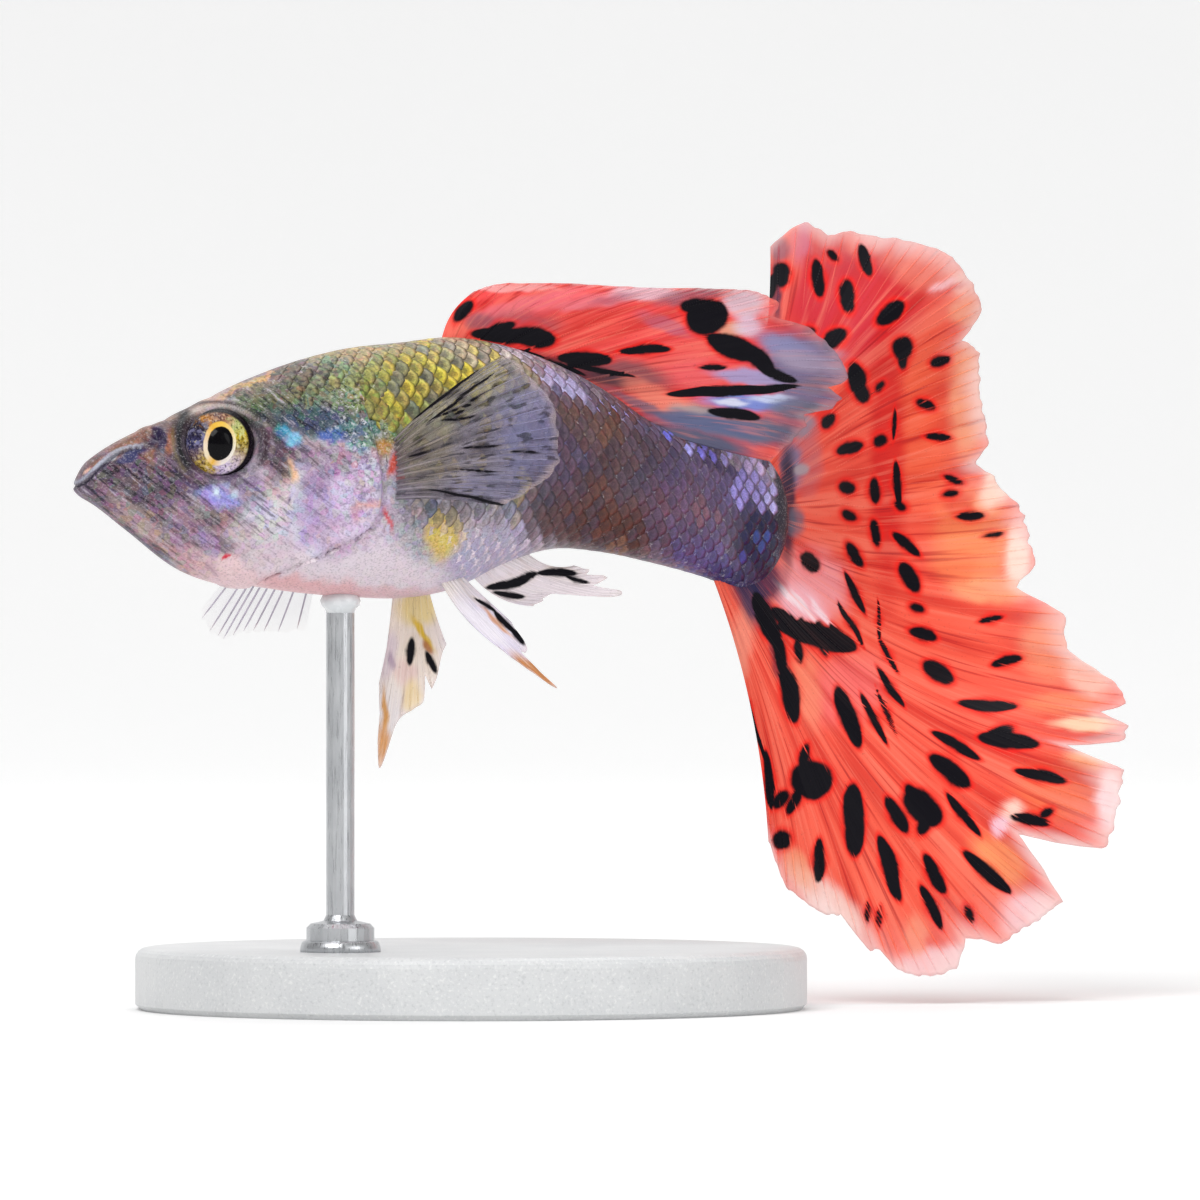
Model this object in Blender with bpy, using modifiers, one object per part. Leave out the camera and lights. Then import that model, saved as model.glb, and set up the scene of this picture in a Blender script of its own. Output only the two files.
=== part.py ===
"""A fancy guppy as a still, life-size museum model on a plain display stand.

The fish swims level with its snout towards -X and its left side towards -Y, and
its tail bends away to +Y. Lengths below are in millimetres, and MM turns them into
metres where points are placed. The origin is the middle of the base's underside.
"""

import math

import bmesh
import bpy
from mathutils import Vector

MM = 0.001
GAP = 0.3  # between parts that meet

# The midline starts at the snout's tip and is read by reach, the distance along X
SNOUT_X = -13.75
SNOUT_Y = -8.5
CURVE_SPAN = 25.0
HEADING = 0.28
CURL = 0.346
CURL_POWER = 2.6

# Reach, height of the back, height of the belly, half width, level of the widest
# part as a share of the height, squareness of the upper half
BODY = (
    (0.0, 18.95, 18.10, 0.80, 0.50, 0.90),
    (0.5, 19.50, 18.02, 1.00, 0.52, 0.86),
    (1.7, 20.28, 17.10, 1.32, 0.55, 0.82),
    (3.5, 21.10, 15.70, 1.75, 0.58, 0.80),
    (5.2, 21.97, 15.09, 2.15, 0.58, 0.80),
    (6.1, 22.40, 15.08, 2.32, 0.55, 0.82),
    (7.8, 23.04, 14.85, 2.60, 0.50, 0.88),
    (9.5, 23.48, 14.71, 2.75, 0.46, 0.94),
    (11.3, 23.70, 14.67, 2.75, 0.45, 1.00),
    (13.0, 23.90, 14.98, 2.60, 0.46, 1.05),
    (14.8, 23.66, 15.88, 2.25, 0.48, 1.05),
    (16.6, 23.05, 16.42, 1.88, 0.50, 1.03),
    (18.4, 22.10, 16.32, 1.56, 0.50, 1.00),
    (20.1, 21.00, 15.97, 1.30, 0.50, 1.00),
    (22.0, 20.47, 15.46, 1.05, 0.50, 1.00),
    (23.3, 20.22, 14.98, 0.85, 0.50, 1.00),
)
SNOUT_ROUND = 0.5
STALK_END = 23.3  # where the tail stalk starts to round off
STALK_ROUND = 1.88
STALK_LEVEL = 17.6
STALK_HALF_HEIGHT = 2.62
HEAD_END = 6.2  # rings lie closer in front of this reach
HEAD_STEP = 0.3
BODY_STEP = 0.66
BODY_SIDES = 32

# Lines in the side view, as height and reach, from below upwards
GILL_LINE = (
    (14.2, 5.6),
    (15.3, 6.1),
    (16.1, 7.6),
    (17.1, 9.15),
    (18.2, 9.5),
    (19.6, 9.4),
    (21.4, 9.1),
    (23.4, 8.9),
    (25.2, 8.8),
)
TAIL_LINE = ((14.5, 18.9), (17.0, 18.3), (19.0, 18.0), (21.0, 18.3), (24.0, 18.9))
MOUTH_LINE = (
    (18.30, -0.6),
    (18.62, 0.1),
    (19.05, 0.5),
    (19.66, 1.2),
    (19.86, 1.7),
    (19.94, 2.1),
)
MOUTH_WIDTH = 0.16
CUT_STEPS = 5  # steps of a cut between two points of its line
LIP_HEIGHT = 0.09
LIP_WIDTH = 0.26
LIP_END = 1.9  # reach where the lips fade into the cheek
COVER_HEIGHT = 0.11  # how far the gill cover's edge stands out
COVER_FADE = 1.0
ORBIT_HEIGHT = 0.1
ORBIT_WIDTH = 0.32

EYE_REACH = 4.6
EYE_LEVEL = 20.08
EYE_OUT = 1.45  # from the midline to the middle of the eyeball
EYE_RADIUS = 1.22
EYE_DEPTH = 0.85
NOSTRIL = (2.55, 52.0, 0.24)  # reach, angle round the body, radius

MEMBRANE = 0.5
RAY = 0.72
SMALL_MEMBRANE = 0.45
SMALL_RAY = 0.58
FIN_TIP_SHARE = 0.62

# Share of the way across the fan, middle and tip of the ray there
TAIL_RAYS = (
    (0.000, (10.2, 5.5, 10.7), (10.8, 5.0, 5.5)),
    (0.030, (10.7, 5.4, 9.9), (11.5, 4.6, 4.3)),
    (0.080, (11.5, 5.4, 9.1), (13.4, 4.4, 3.1)),
    (0.130, (12.4, 5.6, 8.6), (15.6, 4.3, 1.1)),
    (0.165, (13.0, 5.8, 8.5), (17.3, 4.6, 1.2)),
    (0.230, (14.3, 6.4, 8.8), (20.1, 5.6, 2.7)),
    (0.290, (15.3, 7.2, 9.4), (21.4, 6.6, 4.1)),
    (0.330, (15.8, 8.2, 9.9), (23.0, 7.6, 5.7)),
    (0.370, (16.3, 9.2, 10.4), (23.7, 8.5, 7.5)),
    (0.420, (16.6, 10.2, 11.3), (23.9, 9.7, 9.4)),
    (0.480, (16.7, 11.6, 12.8), (23.8, 11.2, 11.5)),
    (0.515, (16.5, 12.2, 13.8), (22.9, 12.2, 12.7)),
    (0.545, (16.3, 12.7, 14.9), (21.9, 13.2, 14.2)),
    (0.580, (15.9, 13.1, 16.0), (20.7, 14.6, 16.3)),
    (0.680, (15.3, 13.8, 19.2), (19.1, 16.8, 20.0)),
    (0.760, (15.0, 13.8, 21.8), (18.5, 17.7, 23.5)),
    (0.820, (14.7, 13.6, 23.2), (18.6, 17.9, 26.0)),
    (0.880, (13.9, 13.2, 24.0), (17.1, 17.5, 27.6)),
    (0.940, (12.6, 12.4, 24.2), (14.1, 16.6, 28.3)),
    (0.980, (11.3, 11.5, 24.2), (12.1, 15.7, 28.6)),
    (1.000, (10.7, 11.0, 23.9), (11.0, 14.6, 27.7)),
)
TAIL_LIFT = 0.55
TAIL_ROOT_ANGLES = (-106.0, 92.0)
# Share of the way across, half width as a share, depth
TAIL_NOTCHES = (
    (0.060, 0.014, 0.5),
    (0.105, 0.014, 0.4),
    (0.198, 0.014, 0.6),
    (0.310, 0.022, 2.9),
    (0.395, 0.014, 2.0),
    (0.450, 0.014, 0.8),
    (0.562, 0.016, 1.3),
    (0.640, 0.014, 0.5),
    (0.790, 0.020, 0.7),
    (0.960, 0.014, 0.5),
)

DORSAL_ROOT = (12.7, 20.0)
DORSAL_RAYS = (
    (0.00, (-0.5, -2.9, 24.8), (0.2, -2.2, 25.5)),
    (0.12, (1.4, -2.0, 25.1), (3.2, -0.6, 25.9)),
    (0.24, (3.3, -0.9, 24.9), (6.0, 1.2, 25.8)),
    (0.36, (5.1, 0.4, 24.7), (8.6, 2.9, 25.8)),
    (0.48, (6.6, 1.4, 24.4), (10.6, 4.2, 25.6)),
    (0.60, (7.9, 2.2, 23.6), (12.6, 5.4, 24.1)),
    (0.70, (8.9, 3.0, 22.8), (13.6, 6.2, 22.8)),
    (0.80, (9.3, 3.4, 22.1), (13.2, 6.1, 21.7)),
    (0.90, (9.0, 3.2, 21.4), (11.8, 5.3, 20.9)),
    (1.00, (8.4, 2.7, 21.1), (10.7, 4.2, 20.5)),
)
DORSAL_NOTCHES = ((0.54, 0.03, 0.9), (0.75, 0.03, 0.8), (0.85, 0.03, 0.7))

PECTORAL_REACH = 9.95
PECTORAL_ANGLES = (17.0, -9.0)
LEFT_PECTORAL_RAYS = (
    (0.00, (-1.0, -8.3, 21.7), (1.2, -7.3, 23.2)),
    (0.17, (-0.5, -8.4, 21.5), (1.9, -7.1, 22.8)),
    (0.34, (0.1, -8.5, 20.7), (2.9, -6.9, 21.6)),
    (0.50, (0.3, -8.5, 19.8), (3.2, -6.8, 20.2)),
    (0.67, (0.2, -8.4, 19.1), (3.0, -6.9, 19.1)),
    (0.84, (-0.2, -8.4, 18.5), (2.1, -7.2, 18.4)),
    (1.00, (-0.7, -8.3, 18.1), (1.2, -7.5, 17.9)),
)
RIGHT_PECTORAL_RAYS = (
    (0.00, (-7.7, -1.0, 16.6), (-9.7, -1.1, 14.2)),
    (0.20, (-7.4, -0.9, 16.2), (-9.2, -1.0, 13.3)),
    (0.40, (-7.1, -0.8, 16.0), (-8.7, -0.8, 13.2)),
    (0.60, (-6.7, -0.6, 15.8), (-8.0, -0.5, 13.4)),
    (0.80, (-6.2, -0.5, 15.7), (-7.2, -0.3, 13.4)),
    (1.00, (-5.5, -0.4, 15.6), (-5.9, -0.1, 13.5)),
)

PELVIC_ANGLE = -63.0
LEFT_PELVIC_REACH = (12.15, 12.85)
LEFT_PELVIC_RAYS = (
    (0.00, (-0.3, -4.9, 14.1), (0.9, -5.0, 13.1)),
    (0.25, (0.35, -4.8, 13.9), (2.0, -4.9, 12.2)),
    (0.50, (0.6, -4.7, 13.9), (3.0, -4.8, 11.5)),
    (0.75, (0.7, -4.6, 14.2), (2.0, -4.6, 12.7)),
    (1.00, (0.4, -4.4, 14.7), (1.3, -4.4, 13.9)),
)
RIGHT_PELVIC_REACH = (11.6, 12.7)
RIGHT_PELVIC_RAYS = (
    (0.00, (-3.1, -3.0, 13.0), (-3.4, -2.6, 11.3)),
    (0.25, (-2.75, -2.8, 12.0), (-3.3, -2.3, 8.7)),
    (0.50, (-2.3, -2.7, 12.5), (-2.6, -2.3, 10.4)),
    (0.75, (-1.8, -2.5, 12.6), (-1.7, -2.1, 11.0)),
    (1.00, (-1.2, -2.3, 13.2), (-1.0, -2.0, 12.4)),
)

ANAL_REACH = (13.8, 15.6)
ANAL_RAYS = (
    (0.00, (1.1, -2.3, 14.72), (2.1, -1.8, 14.5)),
    (0.25, (1.8, -1.9, 14.95), (3.2, -1.1, 14.9)),
    (0.50, (2.7, -1.4, 15.2), (5.3, 0.2, 14.75)),
    (0.75, (2.8, -1.3, 15.5), (4.9, 0.0, 15.45)),
    (1.00, (2.7, -1.3, 15.85), (3.7, -0.6, 15.85)),
)

BASE_RADIUS = 12.0
BASE_HEIGHT = 2.2
BASE_EDGE = 0.4
ROD_RADIUS = 0.5
ROD_FOOT_RADIUS = 1.2
ROD_FOOT_HEIGHT = 0.7
ROD_REACH = 9.2
ROUND_STEPS = 64
ROD_STEPS = 24

COLOURS = {
    "head": (0.28, 0.24, 0.30),
    "trunk": (0.55, 0.50, 0.48),
    "tail_stalk": (0.22, 0.18, 0.28),
    "eye": (0.05, 0.04, 0.04),
    "tail_fin": (0.85, 0.10, 0.04),
    "dorsal_fin": (0.80, 0.08, 0.06),
    "clear_fin": (0.55, 0.52, 0.55),
    "belly_fin": (0.85, 0.70, 0.50),
    "stand_base": (0.75, 0.75, 0.76),
    "stand_rod": (0.60, 0.61, 0.63),
}


def smooth(table, x):
    """The values at x on a smooth curve through the rows of a table of numbers"""
    last = len(table) - 1
    x = min(max(x, table[0][0]), table[last][0])
    k = max(i for i in range(last) if table[i][0] <= x)

    def slope(i, column):
        before, after = max(i - 1, 0), min(i + 1, last)
        rise = table[after][column] - table[before][column]
        return rise / (table[after][0] - table[before][0])

    step = table[k + 1][0] - table[k][0]
    s = (x - table[k][0]) / step
    found = []
    for column in range(1, len(table[0])):
        start, end = table[k][column], table[k + 1][column]
        found.append(
            start * (1 + 2 * s) * (1 - s) ** 2
            + end * s * s * (3 - 2 * s)
            + slope(k, column) * step * s * (1 - s) ** 2
            - slope(k + 1, column) * step * s * s * (1 - s)
        )
    return found


FINE_MOUTH_LINE = [
    (MOUTH_LINE[0][0] + (MOUTH_LINE[-1][0] - MOUTH_LINE[0][0]) * k / 20,
     smooth(MOUTH_LINE, MOUTH_LINE[0][0] + (MOUTH_LINE[-1][0] - MOUTH_LINE[0][0]) * k / 20)[0])
    for k in range(21)
]


def midline(reach):
    share = max(reach, 0) / CURVE_SPAN
    bend = HEADING * reach / CURVE_SPAN + CURL * share**CURL_POWER
    return Vector((SNOUT_X + reach, SNOUT_Y + CURVE_SPAN * bend, 0))


def sideways(reach):
    """Level and square to the midline, towards the fish's left"""
    share = max(reach, 0) / CURVE_SPAN
    slope = HEADING + CURL * CURL_POWER * share ** (CURL_POWER - 1)
    return Vector((slope, -1, 0)).normalized()


def in_body(reach, aside, level):
    """A point by its reach, its distance to the fish's left and its height"""
    return midline(reach) + sideways(reach) * aside + Vector((0, 0, level))


def girth(reach):
    """Back, belly, half width, level of the widest part and squareness at a reach"""
    back, belly, half_width, share, square = smooth(BODY, reach)
    if reach < SNOUT_ROUND:
        rounding = math.sqrt(max(1 - (1 - reach / SNOUT_ROUND) ** 2, 0))
        middle = belly + share * (back - belly)
        back = middle + (back - middle) * rounding
        belly = middle + (belly - middle) * rounding
        half_width *= rounding
    if reach > STALK_END:
        rounding = math.sqrt(max(1 - ((reach - STALK_END) / STALK_ROUND) ** 2, 0))
        back = STALK_LEVEL + STALK_HALF_HEIGHT * rounding
        belly = STALK_LEVEL - STALK_HALF_HEIGHT * rounding
        half_width *= math.sqrt(rounding)
    return back, belly, half_width, belly + share * (back - belly), square


def section(reach, degrees):
    """A point of the bare body: 0 degrees is its left side, 90 its back and -90 its belly"""
    back, belly, half_width, middle, square = girth(reach)
    across, up = math.cos(math.radians(degrees)), math.sin(math.radians(degrees))
    power = square if up > 0 else 1.0
    aside = math.copysign(abs(across) ** power, across) * half_width
    height = (back - middle) * up**power if up > 0 else (middle - belly) * up
    return in_body(reach, aside, middle + height)


def bump(distance, width):
    return math.exp(-((distance / width) ** 2))


def relief(reach, level):
    """How far the lips, the rim of the eye socket and the gill cover stand out"""
    height = 0.0
    if reach < LIP_END + LIP_WIDTH:
        nearest = min(math.hypot(reach - r, level - z) for z, r in FINE_MOUTH_LINE)
        fade = min(max((LIP_END - reach) / LIP_WIDTH + 1, 0), 1)
        height += LIP_HEIGHT * bump(nearest, LIP_WIDTH) * fade
    from_eye = math.hypot(reach - EYE_REACH, level - EYE_LEVEL)
    height += ORBIT_HEIGHT * bump(from_eye - EYE_RADIUS - GAP, ORBIT_WIDTH)
    ahead = smooth(GILL_LINE, level)[0] - reach
    height += COVER_HEIGHT * bump(ahead, COVER_FADE if ahead > 0 else GAP)
    return height


def outward(reach, degrees):
    """The direction that the bare section faces, square to it"""
    step = 0.05
    along = section(reach + step, degrees) - section(reach - step, degrees)
    around = section(reach, degrees + 1) - section(reach, degrees - 1)
    return along.cross(around).normalized()


def skin(reach, degrees, lift=0.0):
    """A point on the body with its relief, or lifted off it"""
    point = section(reach, degrees)
    if SNOUT_ROUND / 2 < reach < HEAD_END + 5:
        lift += relief(reach, point.z)
    return point + outward(reach, degrees) * lift if lift else point


def material(name, roughness=0.4, metallic=0.0):
    made = bpy.data.materials.get(name)
    if made is None:
        made = bpy.data.materials.new(name)
        made.use_nodes = True
        shader = made.node_tree.nodes["Principled BSDF"]
        shader.inputs["Base Color"].default_value = (*COLOURS[name], 1)
        shader.inputs["Roughness"].default_value = roughness
        shader.inputs["Metallic"].default_value = metallic
    return made


def add(name, mesh, finish, collection, parent=None):
    made = bpy.data.objects.new(name, mesh)
    collection.objects.link(made)
    if finish:
        mesh.materials.clear()
        mesh.materials.append(finish)
    made.parent = parent
    return made


def mesh_from(name, bm):
    mesh = bpy.data.meshes.new(name)
    bm.to_mesh(mesh)
    bm.free()
    return mesh


def as_cutter(cutter):
    cutter.hide_render = True
    cutter.display_type = "WIRE"
    return cutter


def cut(target, cutter):
    modifier = target.modifiers.new(cutter.name, "BOOLEAN")
    modifier.operation = "DIFFERENCE"
    modifier.solver = "EXACT"
    modifier.object = cutter


def even_steps(start, end, step):
    count = round((end - start) / step)
    return [start + (end - start) * k / count for k in range(count)]


def whole_body(collection):
    """The body in one piece, a sphere whose rings are moved to the body's sections"""
    reaches = [SNOUT_ROUND * (1 - math.cos(math.radians(a))) for a in (35, 62)]
    reaches += even_steps(SNOUT_ROUND, HEAD_END, HEAD_STEP)
    reaches += even_steps(HEAD_END, STALK_END, BODY_STEP)
    reaches += [STALK_END + STALK_ROUND * math.sin(math.radians(a)) for a in (0, 20, 38, 55, 70, 81)]
    rings = len(reaches) + 1
    bm = bmesh.new()
    bmesh.ops.create_uvsphere(bm, u_segments=BODY_SIDES, v_segments=rings, radius=1)
    for vertex in bm.verts:
        ring = round(math.acos(max(min(vertex.co.z, 1), -1)) / math.pi * rings)
        if ring == 0:
            vertex.co = skin(0, 0) * MM
        elif ring == rings:
            vertex.co = skin(STALK_END + STALK_ROUND, 0) * MM
        else:
            degrees = math.degrees(math.atan2(vertex.co.y, vertex.co.x))
            vertex.co = skin(reaches[ring - 1], degrees) * MM
    bmesh.ops.recalc_face_normals(bm, faces=bm.faces)
    return add("whole_body", mesh_from("whole_body", bm), None, collection)


def thin_cut(name, line, half_span, width, collection):
    """A slab as thick as a cut, along a line of the side view and right across it"""
    table = [(number, *point) for number, point in enumerate(line)]
    spans = len(line) - 1
    bm = bmesh.new()
    bmesh.ops.create_grid(bm, x_segments=CUT_STEPS * spans, y_segments=4, size=1)
    for vertex in bm.verts:
        level, reach = smooth(table, (vertex.co.x + 1) / 2 * spans)
        vertex.co = in_body(reach, vertex.co.y * half_span, level) * MM
    cutter = as_cutter(add(name, mesh_from(name, bm), None, collection))
    wall = cutter.modifiers.new("wall", "SOLIDIFY")
    wall.thickness = width * MM
    wall.offset = 0
    return cutter


def ball(name, radii, place, collection, segments=20, rings=12, axis=None):
    """An ellipsoid whose last radius lies along the axis"""
    bm = bmesh.new()
    bmesh.ops.create_uvsphere(bm, u_segments=segments, v_segments=rings, radius=1)
    bmesh.ops.scale(bm, vec=Vector(radii) * MM, verts=bm.verts)
    mesh = mesh_from(name, bm)
    mesh.shade_smooth()
    made = add(name, mesh, None, collection)
    made.location = place * MM
    if axis:
        made.rotation_euler = axis.to_track_quat("Z", "Y").to_euler()
    return made


def split_body(body, names, parts, parent):
    """The pieces that the thin cuts leave, from the snout to the tail"""
    bpy.context.view_layer.update()
    graph = bpy.context.evaluated_depsgraph_get()
    cut_mesh = bpy.data.meshes.new_from_object(body.evaluated_get(graph))
    bm = bmesh.new()
    bm.from_mesh(cut_mesh)
    pieces = []
    left = set(bm.verts)
    while left:
        reached = {left.pop()}
        front = list(reached)
        while front:
            near = {edge.other_vert(v) for v in front for edge in v.link_edges} - reached
            reached |= near
            front = list(near)
        left -= reached
        middle = sum(v.co.x for v in reached) / len(reached)
        pieces.append((middle, {v.index for v in reached}))
    bm.free()
    made = {}
    for name, (_, kept) in zip(names, sorted(pieces, key=lambda found: found[0])):
        piece = bmesh.new()
        piece.from_mesh(cut_mesh)
        away = [v for v in piece.verts if v.index not in kept]
        bmesh.ops.delete(piece, geom=away, context="VERTS")
        made[name] = add(name, mesh_from(name, piece), None, parts, parent)
    bpy.data.meshes.remove(cut_mesh)
    bpy.data.objects.remove(body)
    return made


def fin(name, rays, root, finish, parts, parent, columns, rows, ray_step,
        ray=SMALL_RAY, membrane=SMALL_MEMBRANE, notches=(), ripple=0.0):
    """A fan of rays from its root to its margin, thicker along each ray

    The sheet is split into triangles before it gets its thickness, so that both
    faces are split alike.
    """
    table = [(share, *middle, *tip) for share, middle, tip in rays]
    bm = bmesh.new()
    bmesh.ops.create_grid(bm, x_segments=columns, y_segments=rows, size=1)
    weights = {}
    for vertex in bm.verts:
        across, along = (vertex.co.x + 1) / 2, (vertex.co.y + 1) / 2
        start = root(across)
        values = smooth(table, across)
        middle, tip = Vector(values[:3]), Vector(values[3:])
        length = (middle - start).length + (tip - middle).length
        turn = (middle - start).length / length
        reach = 1 - sum(
            depth / length * max(1 - abs(across - place) / half, 0)
            for place, half, depth in notches
        )
        s = along * reach
        point = (
            start * ((s - turn) * (s - 1) / turn)
            + middle * (s * (s - 1) / (turn * (turn - 1)))
            + tip * (s * (s - turn) / (1 - turn))
        )
        point += Vector((0.35, 1, 0)).normalized() * (
            ripple * along * along * math.sin(2 * math.pi * (6.5 * across + 0.2))
        )
        column = round(across * columns) % ray_step
        on_ray = column == 0 or (2 * column == ray_step and along > 0.45)
        thick = membrane + (ray - membrane) * min(along / 0.3, 1) * on_ray
        fade = 1 - (1 - FIN_TIP_SHARE) * max(along - 0.75, 0) / 0.25
        weights[vertex.index] = thick / ray * fade
        vertex.co = point * MM
    order = [weights[v.index] for v in bm.verts]
    bmesh.ops.triangulate(bm, faces=bm.faces)
    made = add(name, mesh_from(name, bm), finish, parts, parent)
    group = made.vertex_groups.new(name="thickness")
    for index, weight in enumerate(order):
        group.add([index], weight, "REPLACE")
    wall = made.modifiers.new("wall", "SOLIDIFY")
    wall.thickness = ray * MM
    wall.offset = 0
    wall.vertex_group = group.name
    return made


def tail_root(share):
    """Along the rounded end of the tail stalk, a gap outside it"""
    low, high = TAIL_ROOT_ANGLES
    angle = math.radians(low + (high - low) * share)
    reach = STALK_END + (STALK_ROUND + TAIL_LIFT) * math.cos(angle)
    level = STALK_LEVEL + (STALK_HALF_HEIGHT + TAIL_LIFT) * math.sin(angle)
    return in_body(reach, 0, level)


def row_on_body(reaches, degrees, lift):
    """A root that runs along the body at one angle round it"""

    def root(share):
        reach = reaches[0] + (reaches[1] - reaches[0]) * share
        return skin(reach, degrees, lift)

    return root


def pectoral_root(side):
    """A root that runs down the flank just behind the gill cover"""

    def root(share):
        first, last = PECTORAL_ANGLES
        degrees = first + (last - first) * share
        if side < 0:
            degrees = 180 - degrees
        return skin(PECTORAL_REACH, degrees, GAP + SMALL_RAY / 2)

    return root


def turned(name, profile, finish, parts, parent, place, steps):
    """A round piece: its profile runs from the top of its axis to the bottom"""
    bm = bmesh.new()
    line = [bm.verts.new((radius * MM, 0, level * MM)) for radius, level in profile]
    for first, second in zip(line, line[1:]):
        bm.edges.new((first, second))
    made = add(name, mesh_from(name, bm), finish, parts, parent)
    made.location = (place[0] * MM, place[1] * MM, 0)
    turn = made.modifiers.new("turn", "SCREW")
    turn.steps = turn.render_steps = steps
    turn.use_merge_vertices = True
    turn.merge_threshold = 1e-6
    return made


def make_body(parts, cutters, parent):
    body = whole_body(cutters)
    cut(body, thin_cut("gill_cut", GILL_LINE, 4.5, GAP, cutters))
    cut(body, thin_cut("tail_cut", TAIL_LINE, 4.0, GAP, cutters))
    made = split_body(body, ("head", "trunk", "tail_stalk"), parts, parent)
    for name, piece in made.items():
        piece.data.materials.clear()
        piece.data.materials.append(material(name))
        piece.data.shade_smooth()
        piece.data.set_sharp_from_angle(angle=math.radians(40))
    return made


def make_face(head, parts, cutters, parent):
    cut(head, thin_cut("mouth_cut", MOUTH_LINE, 2.5, MOUTH_WIDTH, cutters))
    for side, word in ((1, "left"), (-1, "right")):
        axis = sideways(EYE_REACH) * side
        place = in_body(EYE_REACH, EYE_OUT * side, EYE_LEVEL)
        radii = (EYE_RADIUS, EYE_RADIUS, EYE_DEPTH)
        eye = ball(f"eye_{word}", radii, place, parts, axis=axis)
        eye.data.materials.append(material("eye", roughness=0.1))
        eye.parent = parent
        hollow = [radius + GAP for radius in radii]
        socket = as_cutter(ball(f"socket_{word}", hollow, place, cutters, axis=axis))
        cut(head, socket)
        reach, degrees, radius = NOSTRIL
        place = skin(reach, degrees if side > 0 else 180 - degrees)
        name = f"nostril_{word}"
        cut(head, as_cutter(ball(name, [radius] * 3, place, cutters, segments=10, rings=6)))


def make_fins(parts, parent):
    common = {"parts": parts, "parent": parent}
    large = {"ray": RAY, "membrane": MEMBRANE, "ray_step": 4, **common}
    fin("tail_fin", TAIL_RAYS, tail_root, material("tail_fin"), columns=84, rows=12,
        notches=TAIL_NOTCHES, ripple=0.3, **large)
    fin("dorsal_fin", DORSAL_RAYS, row_on_body(DORSAL_ROOT, 90, GAP + 0.1),
        material("dorsal_fin"), columns=40, rows=10, notches=DORSAL_NOTCHES,
        ripple=0.12, **large)
    clear = material("clear_fin", roughness=0.3)
    pale = material("belly_fin")
    fin("pectoral_fin_left", LEFT_PECTORAL_RAYS, pectoral_root(1), clear, columns=16,
        rows=7, ray_step=2, **common)
    fin("pectoral_fin_right", RIGHT_PECTORAL_RAYS, pectoral_root(-1), clear, columns=16,
        rows=7, ray_step=2, **common)
    fin("anal_fin", ANAL_RAYS, row_on_body(ANAL_REACH, -90, GAP + 0.05), pale,
        columns=6, rows=7, ray_step=2, **common)
    lift = GAP + SMALL_RAY / 2
    fin("pelvic_fin_left", LEFT_PELVIC_RAYS,
        row_on_body(LEFT_PELVIC_REACH, PELVIC_ANGLE, lift), pale, columns=6, rows=7,
        ray_step=2, **common)
    fin("pelvic_fin_right", RIGHT_PELVIC_RAYS,
        row_on_body(RIGHT_PELVIC_REACH, 180 - PELVIC_ANGLE, lift), pale, columns=6,
        rows=7, ray_step=2, **common)


def make_stand(parts, parent):
    edge = BASE_EDGE
    corner = [
        (BASE_RADIUS - edge * (1 - math.sin(a)), BASE_HEIGHT - edge * (1 - math.cos(a)))
        for a in (math.radians(22.5 * k) for k in range(5))
    ]
    profile = [(0, BASE_HEIGHT), *corner, (BASE_RADIUS, 0.2), (BASE_RADIUS - 0.2, 0), (0, 0)]
    turned("stand_base", profile, material("stand_base", 0.35), parts, parent, (0, 0), ROUND_STEPS)
    foot = BASE_HEIGHT + GAP
    shoulder = foot + ROD_FOOT_HEIGHT
    top = girth(ROD_REACH)[1] - GAP
    profile = [
        (0, top),
        (ROD_RADIUS - 0.12, top),
        (ROD_RADIUS, top - 0.12),
        (ROD_RADIUS, shoulder + 0.3),
        (ROD_RADIUS + 0.1, shoulder + 0.1),
        (ROD_FOOT_RADIUS - 0.15, shoulder),
        (ROD_FOOT_RADIUS, shoulder - 0.15),
        (ROD_FOOT_RADIUS, foot),
        (0, foot),
    ]
    place = midline(ROD_REACH)
    steel = material("stand_rod", 0.25, 1.0)
    turned("stand_rod", profile, steel, parts, parent, place, ROD_STEPS)


def main():
    for obj in list(bpy.data.objects):
        bpy.data.objects.remove(obj)
    parts = bpy.data.collections.new("fancy_guppy")
    cutters = bpy.data.collections.new("cutters")
    for collection in (parts, cutters):
        bpy.context.scene.collection.children.link(collection)
    frame = bpy.data.objects.new("fancy_guppy_frame", None)
    parts.objects.link(frame)
    body = make_body(parts, cutters, frame)
    make_face(body["head"], parts, cutters, frame)
    make_fins(parts, frame)
    make_stand(parts, frame)


main()
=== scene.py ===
"""The looks of a fancy guppy, a still, life-size museum model on a plain display stand.

Lengths are in millimetres, and MM turns them into metres where points are placed.
Places of markings are given in the photograph's own frame, 1200 pixels square, as the
camera sees them: seen() gives that place for a point of the model, so a marking lies
on the surface itself and stays on it from every side.
"""

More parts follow.
